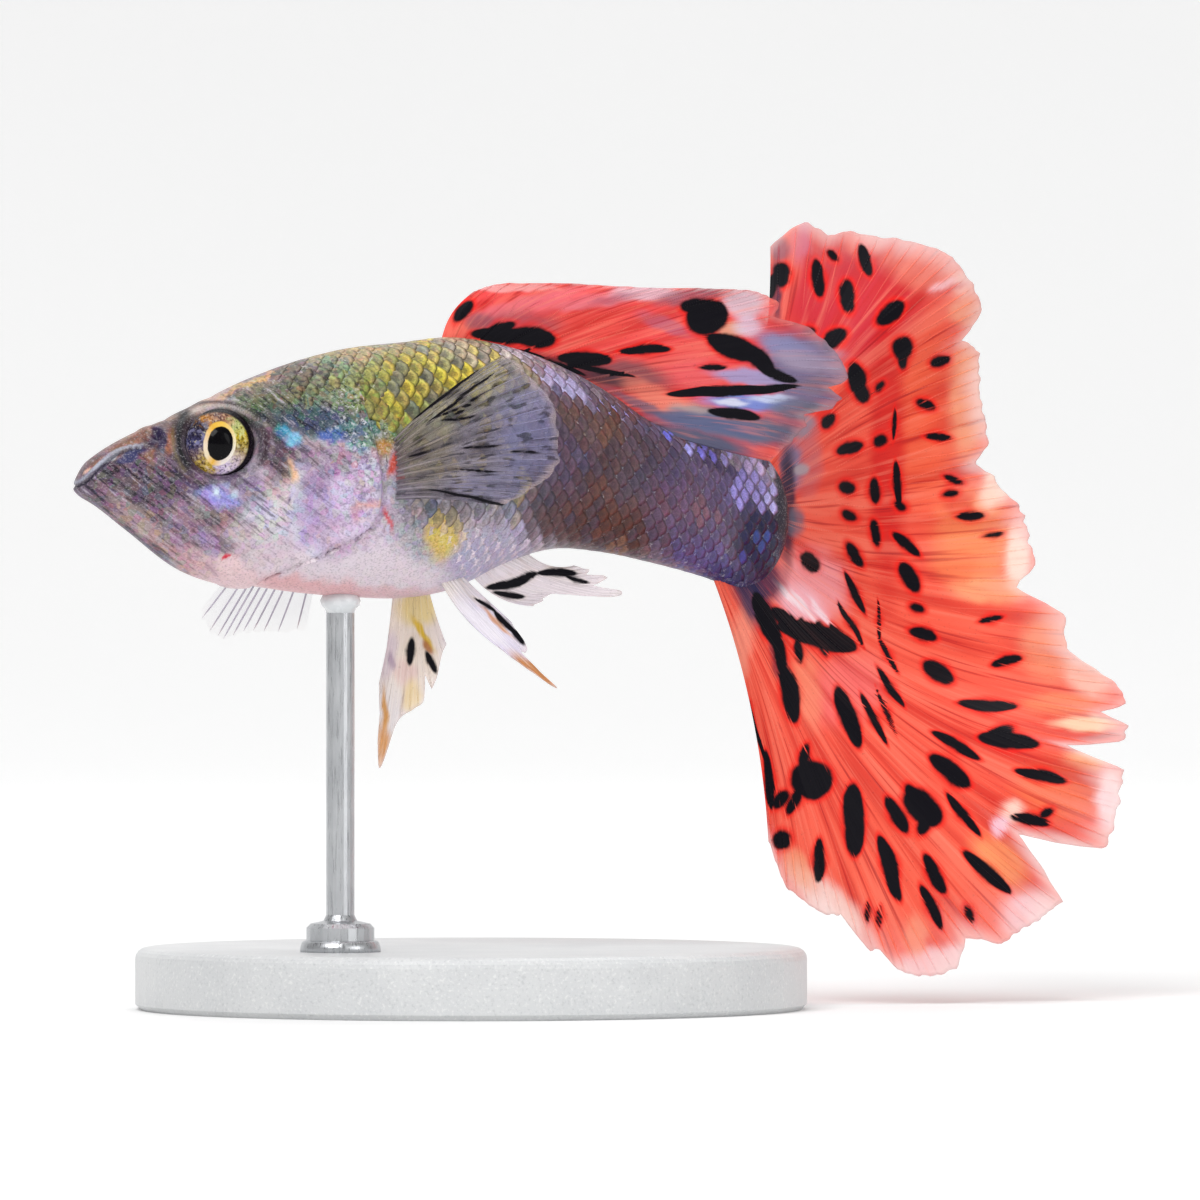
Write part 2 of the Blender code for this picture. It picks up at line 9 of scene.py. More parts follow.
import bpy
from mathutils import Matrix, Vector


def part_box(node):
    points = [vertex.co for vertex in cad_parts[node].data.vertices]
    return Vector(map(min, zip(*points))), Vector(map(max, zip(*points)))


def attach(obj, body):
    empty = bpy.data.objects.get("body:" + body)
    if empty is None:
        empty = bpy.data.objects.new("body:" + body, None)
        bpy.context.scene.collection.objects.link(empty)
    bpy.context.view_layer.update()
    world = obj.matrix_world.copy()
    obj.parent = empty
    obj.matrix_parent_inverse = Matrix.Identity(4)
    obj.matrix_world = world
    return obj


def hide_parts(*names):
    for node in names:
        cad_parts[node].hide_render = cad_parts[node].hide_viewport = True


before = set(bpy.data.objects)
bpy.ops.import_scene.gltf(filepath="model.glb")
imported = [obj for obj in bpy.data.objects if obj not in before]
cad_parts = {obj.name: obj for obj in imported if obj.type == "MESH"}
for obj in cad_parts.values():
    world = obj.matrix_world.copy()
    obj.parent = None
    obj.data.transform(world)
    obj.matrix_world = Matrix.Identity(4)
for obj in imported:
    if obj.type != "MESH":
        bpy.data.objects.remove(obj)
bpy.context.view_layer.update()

import math
import random
from functools import lru_cache

import bmesh
import bpy
from mathutils import Vector, noise

MM = 0.001
GAP = 0.3  # between the solids that meet

# The camera looks along +Y, level with the body, from this far in front of Y = 0
CAMERA_X = 4.6
CAMERA_Z = 14.6
CAMERA_DISTANCE = 400.0
PHOTO_SIZE = 1200
PIXELS_PER_MM = 28.0

# The midline starts at the snout's tip and is read by reach, the distance along X
SNOUT_X = -13.75
SNOUT_Y = -8.5
CURVE_SPAN = 25.0
HEADING = 0.28
CURL = 0.346
CURL_POWER = 2.6

# Reach, height of the back, height of the belly, half width, level of the widest
# part as a share of the height, squareness of the upper half
BODY = (
    (0.0, 18.95, 18.10, 0.80, 0.50, 0.90),
    (0.5, 19.50, 18.02, 1.00, 0.52, 0.86),
    (1.7, 20.28, 17.10, 1.32, 0.55, 0.82),
    (3.5, 21.10, 15.70, 1.75, 0.58, 0.80),
    (5.2, 21.97, 15.09, 2.15, 0.58, 0.80),
    (6.1, 22.40, 15.08, 2.32, 0.55, 0.82),
    (7.8, 23.04, 14.85, 2.60, 0.50, 0.88),
    (9.5, 23.48, 14.71, 2.75, 0.46, 0.94),
    (11.3, 23.70, 14.67, 2.75, 0.45, 1.00),
    (13.0, 23.90, 14.98, 2.60, 0.46, 1.05),
    (14.8, 23.66, 15.88, 2.25, 0.48, 1.05),
    (16.6, 23.05, 16.42, 1.88, 0.50, 1.03),
    (18.4, 22.10, 16.32, 1.56, 0.50, 1.00),
    (20.1, 21.00, 15.97, 1.30, 0.50, 1.00),
    (22.0, 20.47, 15.46, 1.05, 0.50, 1.00),
    (23.3, 20.22, 14.98, 0.85, 0.50, 1.00),
)
SNOUT_ROUND = 0.5
STALK_END = 23.3
STALK_ROUND = 1.88
STALK_LEVEL = 17.6
STALK_HALF_HEIGHT = 2.62

# Lines in the side view, as height and reach, from below upwards
GILL_LINE = (
    (14.2, 5.6),
    (15.3, 6.1),
    (16.1, 7.6),
    (17.1, 9.15),
    (18.2, 9.5),
    (19.6, 9.4),
    (21.4, 9.1),
)
CHEEK_LINE = ((15.6, 4.2), (16.3, 5.6), (17.4, 6.5), (18.6, 6.75), (19.8, 6.6))
MOUTH_LINE = (
    (18.30, -0.6),
    (18.62, 0.1),
    (19.05, 0.5),
    (19.66, 1.2),
    (19.86, 1.7),
    (19.94, 2.1),
)
EYE_REACH = 4.6
EYE_LEVEL = 20.08
EYE_OUT = 1.45
EYE_RADIUS = 1.22
EYE_DEPTH = 0.85
NOSTRIL = (2.55, 52.0, 0.2)  # reach, angle round the body, radius


def smooth(table, x):
    """The values at x on a smooth curve through the rows of a table of numbers"""
    last = len(table) - 1
    x = min(max(x, table[0][0]), table[last][0])
    k = 0
    while k < last - 1 and table[k + 1][0] <= x:
        k += 1
    before, after = table[max(k - 1, 0)], table[min(k + 2, last)]
    here, there = table[k], table[k + 1]
    step = there[0] - here[0]
    s = (x - here[0]) / step
    found = []
    for column in range(1, len(here)):
        start, end = here[column], there[column]
        leaving = (end - before[column]) / (there[0] - before[0]) * step
        arriving = (after[column] - start) / (after[0] - here[0]) * step
        found.append(
            start * (1 + 2 * s) * (1 - s) ** 2
            + end * s * s * (3 - 2 * s)
            + leaving * s * (1 - s) ** 2
            - arriving * s * s * (1 - s)
        )
    return found


def bump(distance, width):
    return math.exp(-((distance / width) ** 2))


def ease(low, high, x):
    """0 up to low, 1 from high, and a soft step between them"""
    share = min(max((x - low) / (high - low), 0), 1)
    return share * share * (3 - 2 * share)


@lru_cache(maxsize=None)
def midline(reach):
    share = max(reach, 0) / CURVE_SPAN
    bend = HEADING * reach / CURVE_SPAN + CURL * share**CURL_POWER
    return Vector((SNOUT_X + reach, SNOUT_Y + CURVE_SPAN * bend, 0))


@lru_cache(maxsize=None)
def sideways(reach):
    """Level and square to the midline, towards the fish's left"""
    share = max(reach, 0) / CURVE_SPAN
    slope = HEADING + CURL * CURL_POWER * share ** (CURL_POWER - 1)
    return Vector((slope, -1, 0)).normalized()


def in_body(reach, aside, level):
    """A point by its reach, its distance to the fish's left and its height"""
    return midline(reach) + sideways(reach) * aside + Vector((0, 0, level))


@lru_cache(maxsize=None)
def girth(reach):
    """Back, belly, half width, level of the widest part and squareness at a reach"""
    back, belly, half_width, share, square = smooth(BODY, reach)
    if reach < SNOUT_ROUND:
        rounding = math.sqrt(max(1 - (1 - reach / SNOUT_ROUND) ** 2, 0))
        middle = belly + share * (back - belly)
        back = middle + (back - middle) * rounding
        belly = middle + (belly - middle) * rounding
        half_width *= rounding
    if reach > STALK_END:
        rounding = math.sqrt(max(1 - ((reach - STALK_END) / STALK_ROUND) ** 2, 0))
        back = STALK_LEVEL + STALK_HALF_HEIGHT * rounding
        belly = STALK_LEVEL - STALK_HALF_HEIGHT * rounding
        half_width *= rounding
    half_width *= 1 - 0.5 * ease(20.0, 25.2, reach)
    return back, belly, half_width, belly + share * (back - belly), square


def section(reach, degrees):
    """A point of the bare body: 0 degrees is its left side, 90 its back and -90 its belly"""
    back, belly, half_width, middle, square = girth(reach)
    across, up = math.cos(math.radians(degrees)), math.sin(math.radians(degrees))
    power = square if up > 0 else 1.0
    aside = math.copysign(abs(across) ** power, across) * half_width
    height = (back - middle) * up**power if up > 0 else (middle - belly) * up
    return in_body(reach, aside, middle + height)


def outward(reach, degrees):
    """The direction that the bare section faces, square to it"""
    step = 0.05
    along = section(reach + step, degrees) - section(reach - step, degrees)
    around = section(reach, degrees + 1) - section(reach, degrees - 1)
    return along.cross(around).normalized()


def on_left(degrees):
    """The same height on the left side, where both sides carry the same markings"""
    return 180 - degrees if math.cos(math.radians(degrees)) < 0 else degrees


def seen(point):
    """Where the camera sees a point, in pixels of the photograph"""
    depth = (1 + point.y / CAMERA_DISTANCE) / PIXELS_PER_MM
    middle = PHOTO_SIZE / 2
    return middle + (point.x - CAMERA_X) / depth, middle - (point.z - CAMERA_Z) / depth


def rough(px, py, size, strength, seed=0.0):
    """A place moved a little, so that the edges of markings wander"""
    across = noise.noise(Vector((px / size, py / size, seed)))
    down = noise.noise(Vector((py / size, px / size, seed + 31.7)))
    return px + across * strength, py + down * strength


def linear(code):
    """A colour written as 0xRRGGBB, in linear light"""
    parts = [(code >> shift & 255) / 255 for shift in (16, 8, 0)]
    return [c / 12.92 if c <= 0.04045 else ((c + 0.055) / 1.055) ** 2.4 for c in parts]


def blend_patches(patches, px, py, start, fleck=0.0):
    """The colour and fleck strength at a place, with each patch laid over the last

    A patch is its middle, half length, half height, tilt in degrees (rising to the
    right), colour, strength and the strength of the flecks on it.
    """
    colour = list(start)
    for x, y, half, height, tilt, code, strength, flecks in patches:
        away, down = px - x, py - y
        if abs(away) + abs(down) > 1.6 * (half + height):
            continue
        turn = math.radians(tilt)
        along = (away * math.cos(turn) - down * math.sin(turn)) / half
        across = (away * math.sin(turn) + down * math.cos(turn)) / height
        weight = strength * (1 - ease(0.55, 1.35, math.hypot(along, across)))
        if weight > 0:
            laid = linear(code)
            colour = [c + (new - c) * weight for c, new in zip(colour, laid)]
            fleck += (flecks - fleck) * weight
    return (*colour, fleck)


# Markings of the body, broad ones first
BODY_BASE = 0x9E8E9C
BODY_MARKS = (
    # Belly and flank
    (400, 560, 190, 42, 0, 0xDCCDD6, 1.0, 0.10),
    (330, 500, 90, 60, 0, 0xCBB9D0, 1.0, 0.25),
    (300, 588, 90, 13, -5, 0xDDA9AC, 0.9, 0.03),
    (400, 597, 70, 8, 0, 0xDDB3B8, 0.6, 0.03),
    (345, 560, 60, 16, 0, 0xDCCFD8, 0.8, 0.05),
    (425, 525, 34, 34, 0, 0xB6B0BE, 0.9, 0.30),
    (470, 470, 90, 90, 0, 0x857E8A, 0.9, 0.35),
    (490, 555, 50, 34, 30, 0xA9A2C0, 0.9, 0.15),
    (462, 518, 30, 26, 0, 0xC0B2B8, 0.7, 0.20),
    (442, 533, 18, 26, 0, 0xDCBE54, 0.9, 0.20),
    # Back
    (420, 385, 110, 48, 8, 0x8E8E54, 1.0, 0.75),
    (310, 395, 60, 34, 20, 0x747E60, 1.0, 1.00),
    (455, 372, 36, 32, 0, 0xB4A64C, 0.8, 0.55),
    (400, 425, 60, 18, 10, 0x8B9A52, 0.7, 0.80),
    (270, 392, 52, 22, 24, 0x6C5E4E, 0.9, 0.95),
    (250, 384, 46, 4, 27, 0xCFA266, 0.8, 0.60),
    (375, 350, 90, 7, 6, 0xB7A06C, 0.8, 0.40),
    (450, 343, 36, 7, -4, 0xC4A78A, 0.9, 0.20),
    # A painted highlight along the ridge of the back, at the root of the dorsal fin
    (512, 352, 30, 7, -14, 0xC7B9CE, 1.0, 0.10),
    # Dark band behind the eye with its blue and green lights
    (250, 408, 28, 11, 8, 0x47603F, 0.8, 1.00),
    (320, 424, 62, 17, -6, 0x33465A, 0.9, 1.00),
    (360, 430, 30, 12, 6, 0x5C7C7C, 0.7, 0.90),
    (281, 430, 8, 7, 0, 0x1FA2C8, 1.0, 0.35),
    (294, 442, 11, 5, -25, 0x79BCE0, 1.0, 0.30),
    (330, 437, 13, 7, -5, 0x3E62A8, 0.8, 0.70),
    (356, 446, 11, 7, 0, 0x6E9DB4, 0.7, 0.70),
    (405, 432, 12, 9, 20, 0x3A4048, 0.8, 0.70),
    (315, 455, 50, 10, -4, 0x75666E, 0.7, 0.80),
    # Jaws and cheek
    (150, 500, 96, 62, -32, 0x625060, 1.0, 1.00),
    (120, 500, 52, 10, -38, 0x685864, 0.8, 1.00),
    (165, 545, 70, 9, -38, 0xC4A0A2, 0.8, 0.45),
    (150, 522, 60, 9, -36, 0x9A8288, 0.7, 0.70),
    (200, 530, 44, 26, -30, 0x917A8C, 0.8, 0.60),
    (228, 572, 36, 18, -20, 0xE2C4C8, 1.0, 0.08),
    (200, 562, 26, 9, -34, 0xC9A4AC, 0.8, 0.30),
    (222, 520, 30, 12, -20, 0x8F7E70, 0.6, 0.80),
    (262, 545, 40, 22, -20, 0xCBB8C2, 0.8, 0.25),
    (272, 510, 27, 26, 0, 0xC0BCCC, 0.9, 0.70),
    (268, 528, 20, 14, 0, 0xC8C2CE, 0.7, 0.65),
    (300, 518, 9, 26, 0, 0xD8E2EE, 0.8, 0.50),
    (284, 500, 11, 20, 0, 0xE2DEE6, 0.7, 0.80),
    (318, 547, 14, 10, 0, 0xCCD4E6, 0.6, 0.30),
    (283, 486, 22, 22, 0, 0xCDB6B6, 0.8, 0.30),
    (245, 490, 24, 18, -10, 0x8A7F92, 0.8, 0.70),
    (218, 497, 20, 9, -8, 0x9A94DC, 0.9, 0.40),
    (216, 493, 4, 3, 0, 0xD6E8F0, 0.9, 0.00),
    (237, 493, 5, 3, 0, 0xC0D0E4, 0.7, 0.00),
    (205, 540, 16, 8, -30, 0xA890B4, 0.7, 0.50),
    (293, 472, 5, 15, 10, 0xF0B88C, 0.9, 0.10),
    (300, 500, 10, 26, 0, 0xC3CBDC, 0.8, 0.25),
    (290, 499, 3, 3, 0, 0x15101C, 1.0, 0.00),
    (224, 557, 4, 3, 0, 0xCF2F46, 1.0, 0.00),
    # Forehead, snout and lips
    (165, 420, 64, 9, 25, 0xCDA58E, 0.9, 0.30),
    (150, 438, 56, 12, 26, 0x5A3B48, 0.9, 0.60),
    (120, 449, 40, 6, 34, 0x8A5A3C, 0.9, 0.50),
    (156, 440, 11, 13, 0, 0x2A2344, 0.9, 0.40),
    (171, 440, 5, 14, -8, 0xA2603E, 0.9, 0.30),
    (150, 456, 8, 9, 0, 0x96603E, 0.6, 0.40),
    (133, 456, 18, 5, 20, 0x252C5E, 0.9, 0.30),
    (106, 462, 17, 3, 38, 0xB9BCC8, 0.9, 0.05),
    (84, 480, 11, 6, 30, 0x6A4A52, 0.7, 0.40),
    # A painted highlight at the front end of the upper lip
    (88, 471, 5, 2.5, 40, 0xF0C0A8, 0.9, 0.00),
    (80, 488, 8, 6, -30, 0x4A3A4E, 0.6, 0.60),
    # Round the eye
    (275, 452, 15, 34, 6, 0x4C3644, 0.9, 0.80),
    (222, 480, 40, 7, -4, 0x6B5A78, 0.7, 0.60),
    (190, 472, 16, 14, -30, 0x6A5468, 0.8, 0.70),
    # Gill cover
    (330, 515, 40, 38, 0, 0xAC94BA, 0.9, 0.45),
    (315, 480, 15, 16, 0, 0x93749A, 0.7, 0.45),
    (352, 462, 30, 14, 0, 0xA58F9C, 0.7, 0.60),
    (365, 480, 20, 18, 0, 0xB4A6BC, 0.8, 0.50),
    (340, 535, 30, 16, 10, 0xC6AAC0, 0.8, 0.25),
    (342, 498, 13, 22, 10, 0xD2C8E4, 0.6, 0.35),
    (331, 470, 11, 8, 0, 0x86648E, 0.6, 0.80),
    (354, 530, 20, 11, 20, 0xD6C6E2, 0.6, 0.30),
    (372, 470, 9, 16, 0, 0xC8BACE, 0.6, 0.60),
    (366, 503, 15, 5, 14, 0xD7998E, 0.8, 0.15),
    (355, 514, 5, 9, 0, 0xC88E98, 0.6, 0.20),
    (392, 462, 5, 13, -34, 0xBE4636, 1.0, 0.10),
    (400, 478, 6, 4, 0, 0xC4574E, 0.9, 0.10),
    (389, 517, 3, 11, 24, 0xCC4A52, 1.0, 0.00),
    (385, 446, 9, 8, 0, 0xB0822C, 0.9, 0.40),
    # Tail stalk
    (600, 480, 80, 95, 0, 0x4A3438, 1.0, 0.30),
    (560, 440, 34, 60, 0, 0x54527A, 0.8, 0.30),
    (585, 420, 44, 22, -24, 0x735440, 0.8, 0.30),
    (610, 530, 50, 24, -8, 0x4A2214, 0.9, 0.20),
    (605, 492, 34, 22, -14, 0x5C3426, 0.7, 0.25),
    (545, 520, 24, 34, 20, 0x40343E, 0.7, 0.25),
    (640, 470, 40, 40, 0, 0x524C60, 0.7, 0.20),
    (690, 500, 50, 70, 0, 0x504060, 0.9, 0.25),
    (700, 560, 40, 22, -20, 0x4E4686, 0.8, 0.25),
    (665, 505, 34, 16, 0, 0x74505C, 0.6, 0.20),
    # The next three rows carry the painted highlight along the ridge on to the tail stalk
    (560, 384, 34, 7, -29, 0xB9B2DC, 1.0, 0.05),
    (610, 408, 34, 6, -26, 0x9E98D6, 1.0, 0.10),
    (645, 428, 22, 8, -20, 0x6C6C90, 0.8, 0.20),
    (690, 426, 40, 8, -10, 0x8C8494, 0.8, 0.20),
    (735, 440, 40, 8, -34, 0x8C90BC, 0.8, 0.20),
    (715, 462, 34, 9, -36, 0x1E1A38, 0.9, 0.10),
    (745, 490, 28, 26, 0, 0x5C5292, 0.6, 0.20),
    (760, 545, 34, 50, 10, 0x0E1040, 1.0, 0.25),
    (728, 583, 32, 18, -20, 0x22265A, 0.9, 0.30),
    (775, 565, 12, 14, 0, 0x3A5464, 0.7, 0.20),
    (784, 490, 9, 70, 0, 0x120E24, 1.0, 0.00),
    (765, 448, 16, 10, -50, 0x1A1430, 0.9, 0.00),
    (650, 560, 60, 5, -12, 0x7E5664, 0.7, 0.10),
)
# Scales of the tail stalk that catch the light, with painted highlights in their middles: middle,
# half width, half height, colour
BRIGHT_SCALES = (
    (665, 432, 7, 8, 0x7070DC),
    (683, 442, 8, 9, 0xA8A4F4),
    (702, 450, 8, 9, 0x7C74DC),
    (723, 457, 8, 9, 0xAAA2EA),
    (749, 464, 10, 9, 0xBAA6D6),
    (738, 485, 9, 19, 0x9A8EDC),
    (754, 492, 9, 20, 0xA498E0),
    (771, 498, 9, 18, 0xB8B0F0),
    (757, 541, 7, 8, 0x34468C),
    (742, 555, 7, 7, 0x403C8C),
    (697, 507, 10, 14, 0x7C5664),
    (713, 515, 8, 10, 0x7C5868),
    (612, 545, 9, 12, 0x74503E),
)


BROAD_BODY_MARKS = [mark for mark in BODY_MARKS if min(mark[2:4]) > 6]


def body_colour(px, py, marks=BODY_MARKS):
    """The colour of the skin and the strength of its flecks at a place in the photograph"""
    px, py = rough(px, py, 16, 7)
    px, py = rough(px, py, 5, 2.5, seed=4.0)
    return blend_patches(marks, px, py, linear(BODY_BASE), fleck=0.3)


class Shade:
    """An output of a material's nodes that takes part in sums and products"""

    def __init__(self, tree, socket):
        self.tree = tree
        self.socket = socket

    def make(self, kind, sockets, output=0, stops=None, **settings):
        """A node of any kind: its settings first, then its sockets' values or links"""
        node = self.tree.nodes.new(kind)
        for name, value in settings.items():
            setattr(node, name, value)
        if stops:
            ramp = node.color_ramp
            for place, _ in stops[1:-1]:
                ramp.elements.new(place)
            for element, (place, code) in zip(ramp.elements, stops):
                element.position = place
                element.color = (*linear(code), 1)
        for key, value in sockets.items():
            if isinstance(value, Shade):
                self.tree.links.new(value.socket, node.inputs[key])
            else:
                node.inputs[key].default_value = value
        return Shade(self.tree, node.outputs[output])

    def sum_with(self, operation, *others):
        values = dict(enumerate((self, *others)))
        return self.make("ShaderNodeMath", values, operation=operation)

    def __add__(self, other):
        return self.sum_with("ADD", other)

    def __sub__(self, other):
        return self.sum_with("SUBTRACT", other)

    def __mul__(self, other):
        return self.sum_with("MULTIPLY", other)

    def __truediv__(self, other):
        return self.sum_with("DIVIDE", other)

    def __pow__(self, other):
        return self.sum_with("POWER", other)

    def __rsub__(self, other):
        return self.make("ShaderNodeMath", {0: other, 1: self}, operation="SUBTRACT")

    __radd__ = __add__
    __rmul__ = __mul__

    def ease(self, low, high, start=0.0, end=1.0):
        """A soft step from start to end while this value goes from low to high"""
        values = {0: self, 1: low, 2: high, 3: start, 4: end}
        return self.make("ShaderNodeMapRange", values, interpolation_type="SMOOTHSTEP")

    def mix(self, other, share, blend_type="MIX"):
        """This colour with another laid over it, which may be a code or a link"""
        if isinstance(other, int):
            other = (*linear(other), 1)
        values = {0: share, 6: self, 7: other}
        return self.make(
            "ShaderNodeMix", values, output=2, data_type="RGBA", blend_type=blend_type
        )

    def scaled(self, factors):
        """This place with its axes stretched"""
        values = {0: self, 1: factors}
        return self.make("ShaderNodeVectorMath", values, operation="MULTIPLY")

    def turned(self, degrees):
        """This place turned about Y"""
        angles = (0, math.radians(degrees), 0)
        values = {"Vector": self, "Rotation": angles}
        return self.make("ShaderNodeMapping", values)

    def noise(self, scale, detail=2.0, rough_share=0.5):
        """Noise at this place, with its middle near one half"""
        values = {"Vector": self, "Scale": scale, "Detail": detail, "Roughness": rough_share}
        return self.make("ShaderNodeTexNoise", values)

    def cells(self, scale, output="Distance"):
        values = {"Vector": self, "Scale": scale}
        return self.make("ShaderNodeTexVoronoi", values, output=output)

    def ramp(self, stops):
        """The colour at this value between the stops, from 0 to 1"""
        return self.make("ShaderNodeValToRGB", {0: self}, stops=stops)


class Finish:
    """A material being made: its shader, the place in millimetres and its attributes"""

    def __init__(self, name, **constants):
        self.material = bpy.data.materials.new(name)
        self.material.use_nodes = True
        self.tree = self.material.node_tree
        self.shader = self.tree.nodes["Principled BSDF"]
        for key, value in constants.items():
            self.shader.inputs[key.replace("_", " ")].default_value = value
        self.base = Shade(self.tree, None)
        place = self.base.make("ShaderNodeTexCoord", {}, output="Object")
        self.place = place.scaled((1 / MM, 1 / MM, 1 / MM))

    def attribute(self, name, output="Fac"):
        return self.base.make("ShaderNodeAttribute", {}, output=output, attribute_name=name)

    def uv(self, name):
        return self.base.make("ShaderNodeUVMap", {}, uv_map=name)

    def parts(self, vector):
        """The three numbers of a vector"""
        split = self.base.make("ShaderNodeSeparateXYZ", {0: vector})
        outputs = split.socket.node.outputs
        return [Shade(self.tree, outputs[k]) for k in range(3)]

    def set(self, **links):
        for key, value in links.items():
            self.tree.links.new(value.socket, self.shader.inputs[key.replace("_", " ")])
        return self

    def raise_by(self, height, distance, strength=1.0):
        """Bump from a height in its own units, as deep as distance in millimetres"""
        values = {"Height": height, "Distance": distance * MM, "Strength": strength}
        return self.set(Normal=self.base.make("ShaderNodeBump", values))


def flesh_finish(name, plates=False):
    """Skin, or with plates the scales on it, both with the markings painted on them"""
    made = Finish(name, Coat_Weight=0.12, Coat_Roughness=0.2, Specular_IOR_Level=0.18)
    marking = made.attribute("marking", "Color")
    flecks = made.attribute("marking", "Alpha")
    fine = made.place.noise(6.5, 2.0)
    finer = made.place.scaled((1.0, 1.0, 1.3)).noise(13.0, 1.0)
    streaks = made.place.turned(-38).scaled((0.8, 2.0, 6.5)).noise(1.3, 2.0)
    ahead = made.parts(made.place)[0].ease(-5.5, -3.5)
    grain = fine if plates else fine * (ahead * 0.6 + 0.25) + streaks * (0.75 - ahead * 0.6)
    dark = grain.ease(0.50, 0.38) * flecks
    pale = grain.ease(0.55, 0.68) * flecks
    hues = made.place.cells(4.6, "Color")
    pebbles = made.place.cells(4.6).ease(0.50, 0.20) * finer.ease(0.42, 0.58)
    colour = marking.mix(hues, flecks * (ahead * 0.12 + 0.30), "OVERLAY")
    colour = colour.mix(0x100C1A, dark * 0.84)
    if plates:
        bright = colour.mix((0.44, 0.42, 0.50, 1), 1.0, "DODGE")
        colour = colour.mix(bright, pale * 0.60)
        colour = colour.mix(bright, finer.ease(0.54, 0.70) * 0.40)
    else:
        colour = colour.mix(0xE6DCEC, pale * 0.34)
        bright = colour.mix((0.95, 0.93, 1.0, 1), 0.60)
        colour = colour.mix(0xF2EDF4, finer.ease(0.56, 0.70) * 0.14)
    colour = colour.mix(bright, pebbles * flecks * ahead * (0.3 if plates else 0.9))
    colour = colour.mix(0x2B2740, finer.ease(0.46, 0.34) * 0.24)
    if plates:
        rim = made.attribute("rim") + (finer - 0.5) * 0.30
        contrast = made.attribute("contrast")
        # Painted shade over each scale's middle, under the edge of the scale before it, and along
        # its rim, with a painted highlight on the crescent between them
        shadow = colour.mix((0.07, 0.06, 0.11, 1), 0.75, "MULTIPLY").mix(0x2C3050, 0.22)
        colour = colour.mix(shadow, rim.ease(0.66, 0.20) * contrast * 0.80)
        colour = colour.mix(shadow, rim.ease(0.84, 1.04) * contrast * 0.85)
        colour = colour.mix(bright, rim.ease(0.50, 0.76) * rim.ease(0.96, 0.80) * contrast * 0.60)
    made.set(Base_Color=colour, Roughness=fine.ease(0.3, 0.7, 0.30, 0.52))
    made.raise_by(grain * 0.7 + finer * 0.3, 0.03)
    return made.material


def in_ring(vertex, rings):
    """Which ring of a sphere of this many rings a vertex lies on, from its top"""
    return round(math.acos(max(min(vertex.co.z, 1), -1)) / math.pi * rings)


def mesh_piece(name, bm, finish, replaced=(), smooth_shade=True):
    """A finished piece of the fish that rides on its body"""
    mesh = bpy.data.meshes.new(name)
    bm.to_mesh(mesh)
    bm.free()
    if smooth_shade:
        mesh.shade_smooth()
    mesh.materials.append(finish)
    piece = bpy.data.objects.new(name, mesh)
    bpy.context.scene.collection.objects.link(piece)
    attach(piece, "root")
    if replaced:
        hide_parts(*replaced)
    return piece


@lru_cache(maxsize=None)
def ball_mesh(sides, rings):
    bm = bmesh.new()
    bmesh.ops.create_uvsphere(bm, u_segments=sides, v_segments=rings, radius=1)
    mesh = bpy.data.meshes.new("ball")
    bm.to_mesh(mesh)
    bm.free()
    return mesh


def add_balls(bm, sizes):
    """Puts a ball of each size, as its sides and rings, into an empty bmesh"""
    for sides, rings in sizes:
        bm.from_mesh(ball_mesh(sides, rings))


def balls_of(bm, sizes):
    """The vertices of each ball, in turn"""
    vertices = iter(bm.verts)
    return [[next(vertices) for _ in range(2 + s * (r - 1))] for s, r in sizes]


def distance_to(line, reach, level):
    """How far a place in the side view is from a line of heights and reaches"""
    return min(math.hypot(reach - r, level - z) for z, r in line)


def fine_line(table, steps=40):
    low, high = table[0][0], table[-1][0]
    levels = [low + (high - low) * k / steps for k in range(steps + 1)]
    return [(level, smooth(table, level)[0]) for level in levels]


FINE_MOUTH = fine_line(MOUTH_LINE)
FINE_CHEEK = fine_line(CHEEK_LINE)
NOSTRIL_LEVEL = section(NOSTRIL[0], NOSTRIL[1]).z


def relief(reach, level):
    """How far the skin stands out from the bare body at a place of the side view"""
    height = 0.0
    if reach < 3:
        from_mouth = distance_to(FINE_MOUTH, reach, level)
        lips = 1 - ease(1.6, 2.1, reach)
        height += 0.045 * bump(from_mouth, 0.20) * lips
        height -= 0.11 * bump(from_mouth, 0.05) * (1 - ease(1.9, 2.2, reach))
        from_corner = math.hypot(reach - 2.25, level - 19.75)
        height -= 0.05 * bump(from_corner - 0.25, 0.09) * (1 if level < 20.1 else 0.3)
    if reach < 4:
        from_nostril = math.hypot(reach - NOSTRIL[0], level - NOSTRIL_LEVEL)
        height += 0.05 * bump(from_nostril - NOSTRIL[2] * 1.3, 0.09)
        height -= 0.22 * bump(from_nostril, NOSTRIL[2] * 0.75)
    from_eye = math.hypot(reach - EYE_REACH, level - EYE_LEVEL)
    if from_eye < 2.6:
        height -= 0.24 * (1 - ease(1.12, 1.36, from_eye))
        height -= 0.80 * (1 - ease(0.80, 1.14, from_eye))
        height += 0.03 * bump(from_eye - 1.46, 0.12)
        height -= 0.02 * bump(from_eye - 1.68, 0.10)
    if reach < 8 and level < 20:
        height -= 0.05 * bump(distance_to(FINE_CHEEK, reach, level), 0.10)
    if 5 < reach < 11:
        ahead = smooth(GILL_LINE, level)[0] - reach
        fade = ease(14.6, 15.4, level) * (1 - ease(21.0, 22.2, level))
        if ahead > 0:
            height += 0.13 * bump(ahead, 0.9) * fade
        else:
            height += (0.13 * bump(ahead, 0.05) - 0.10 * bump(ahead + 0.12, 0.14)) * fade
    return height


def skin_reaches():
    """Where the rings of the skin lie, closer together on the head"""
    fine, coarse = ((0.055, 0.13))
    found = [SNOUT_ROUND * (1 - math.cos(math.radians(a))) for a in range(6, 88, 6)]
    reach = SNOUT_ROUND
    while reach < STALK_END - coarse / 2:
        found.append(reach)
        reach += fine + (coarse - fine) * ease(9.8, 11.5, reach)
    return found + [
        STALK_END + STALK_ROUND * math.sin(math.radians(a)) for a in range(0, 90, 5)
    ]


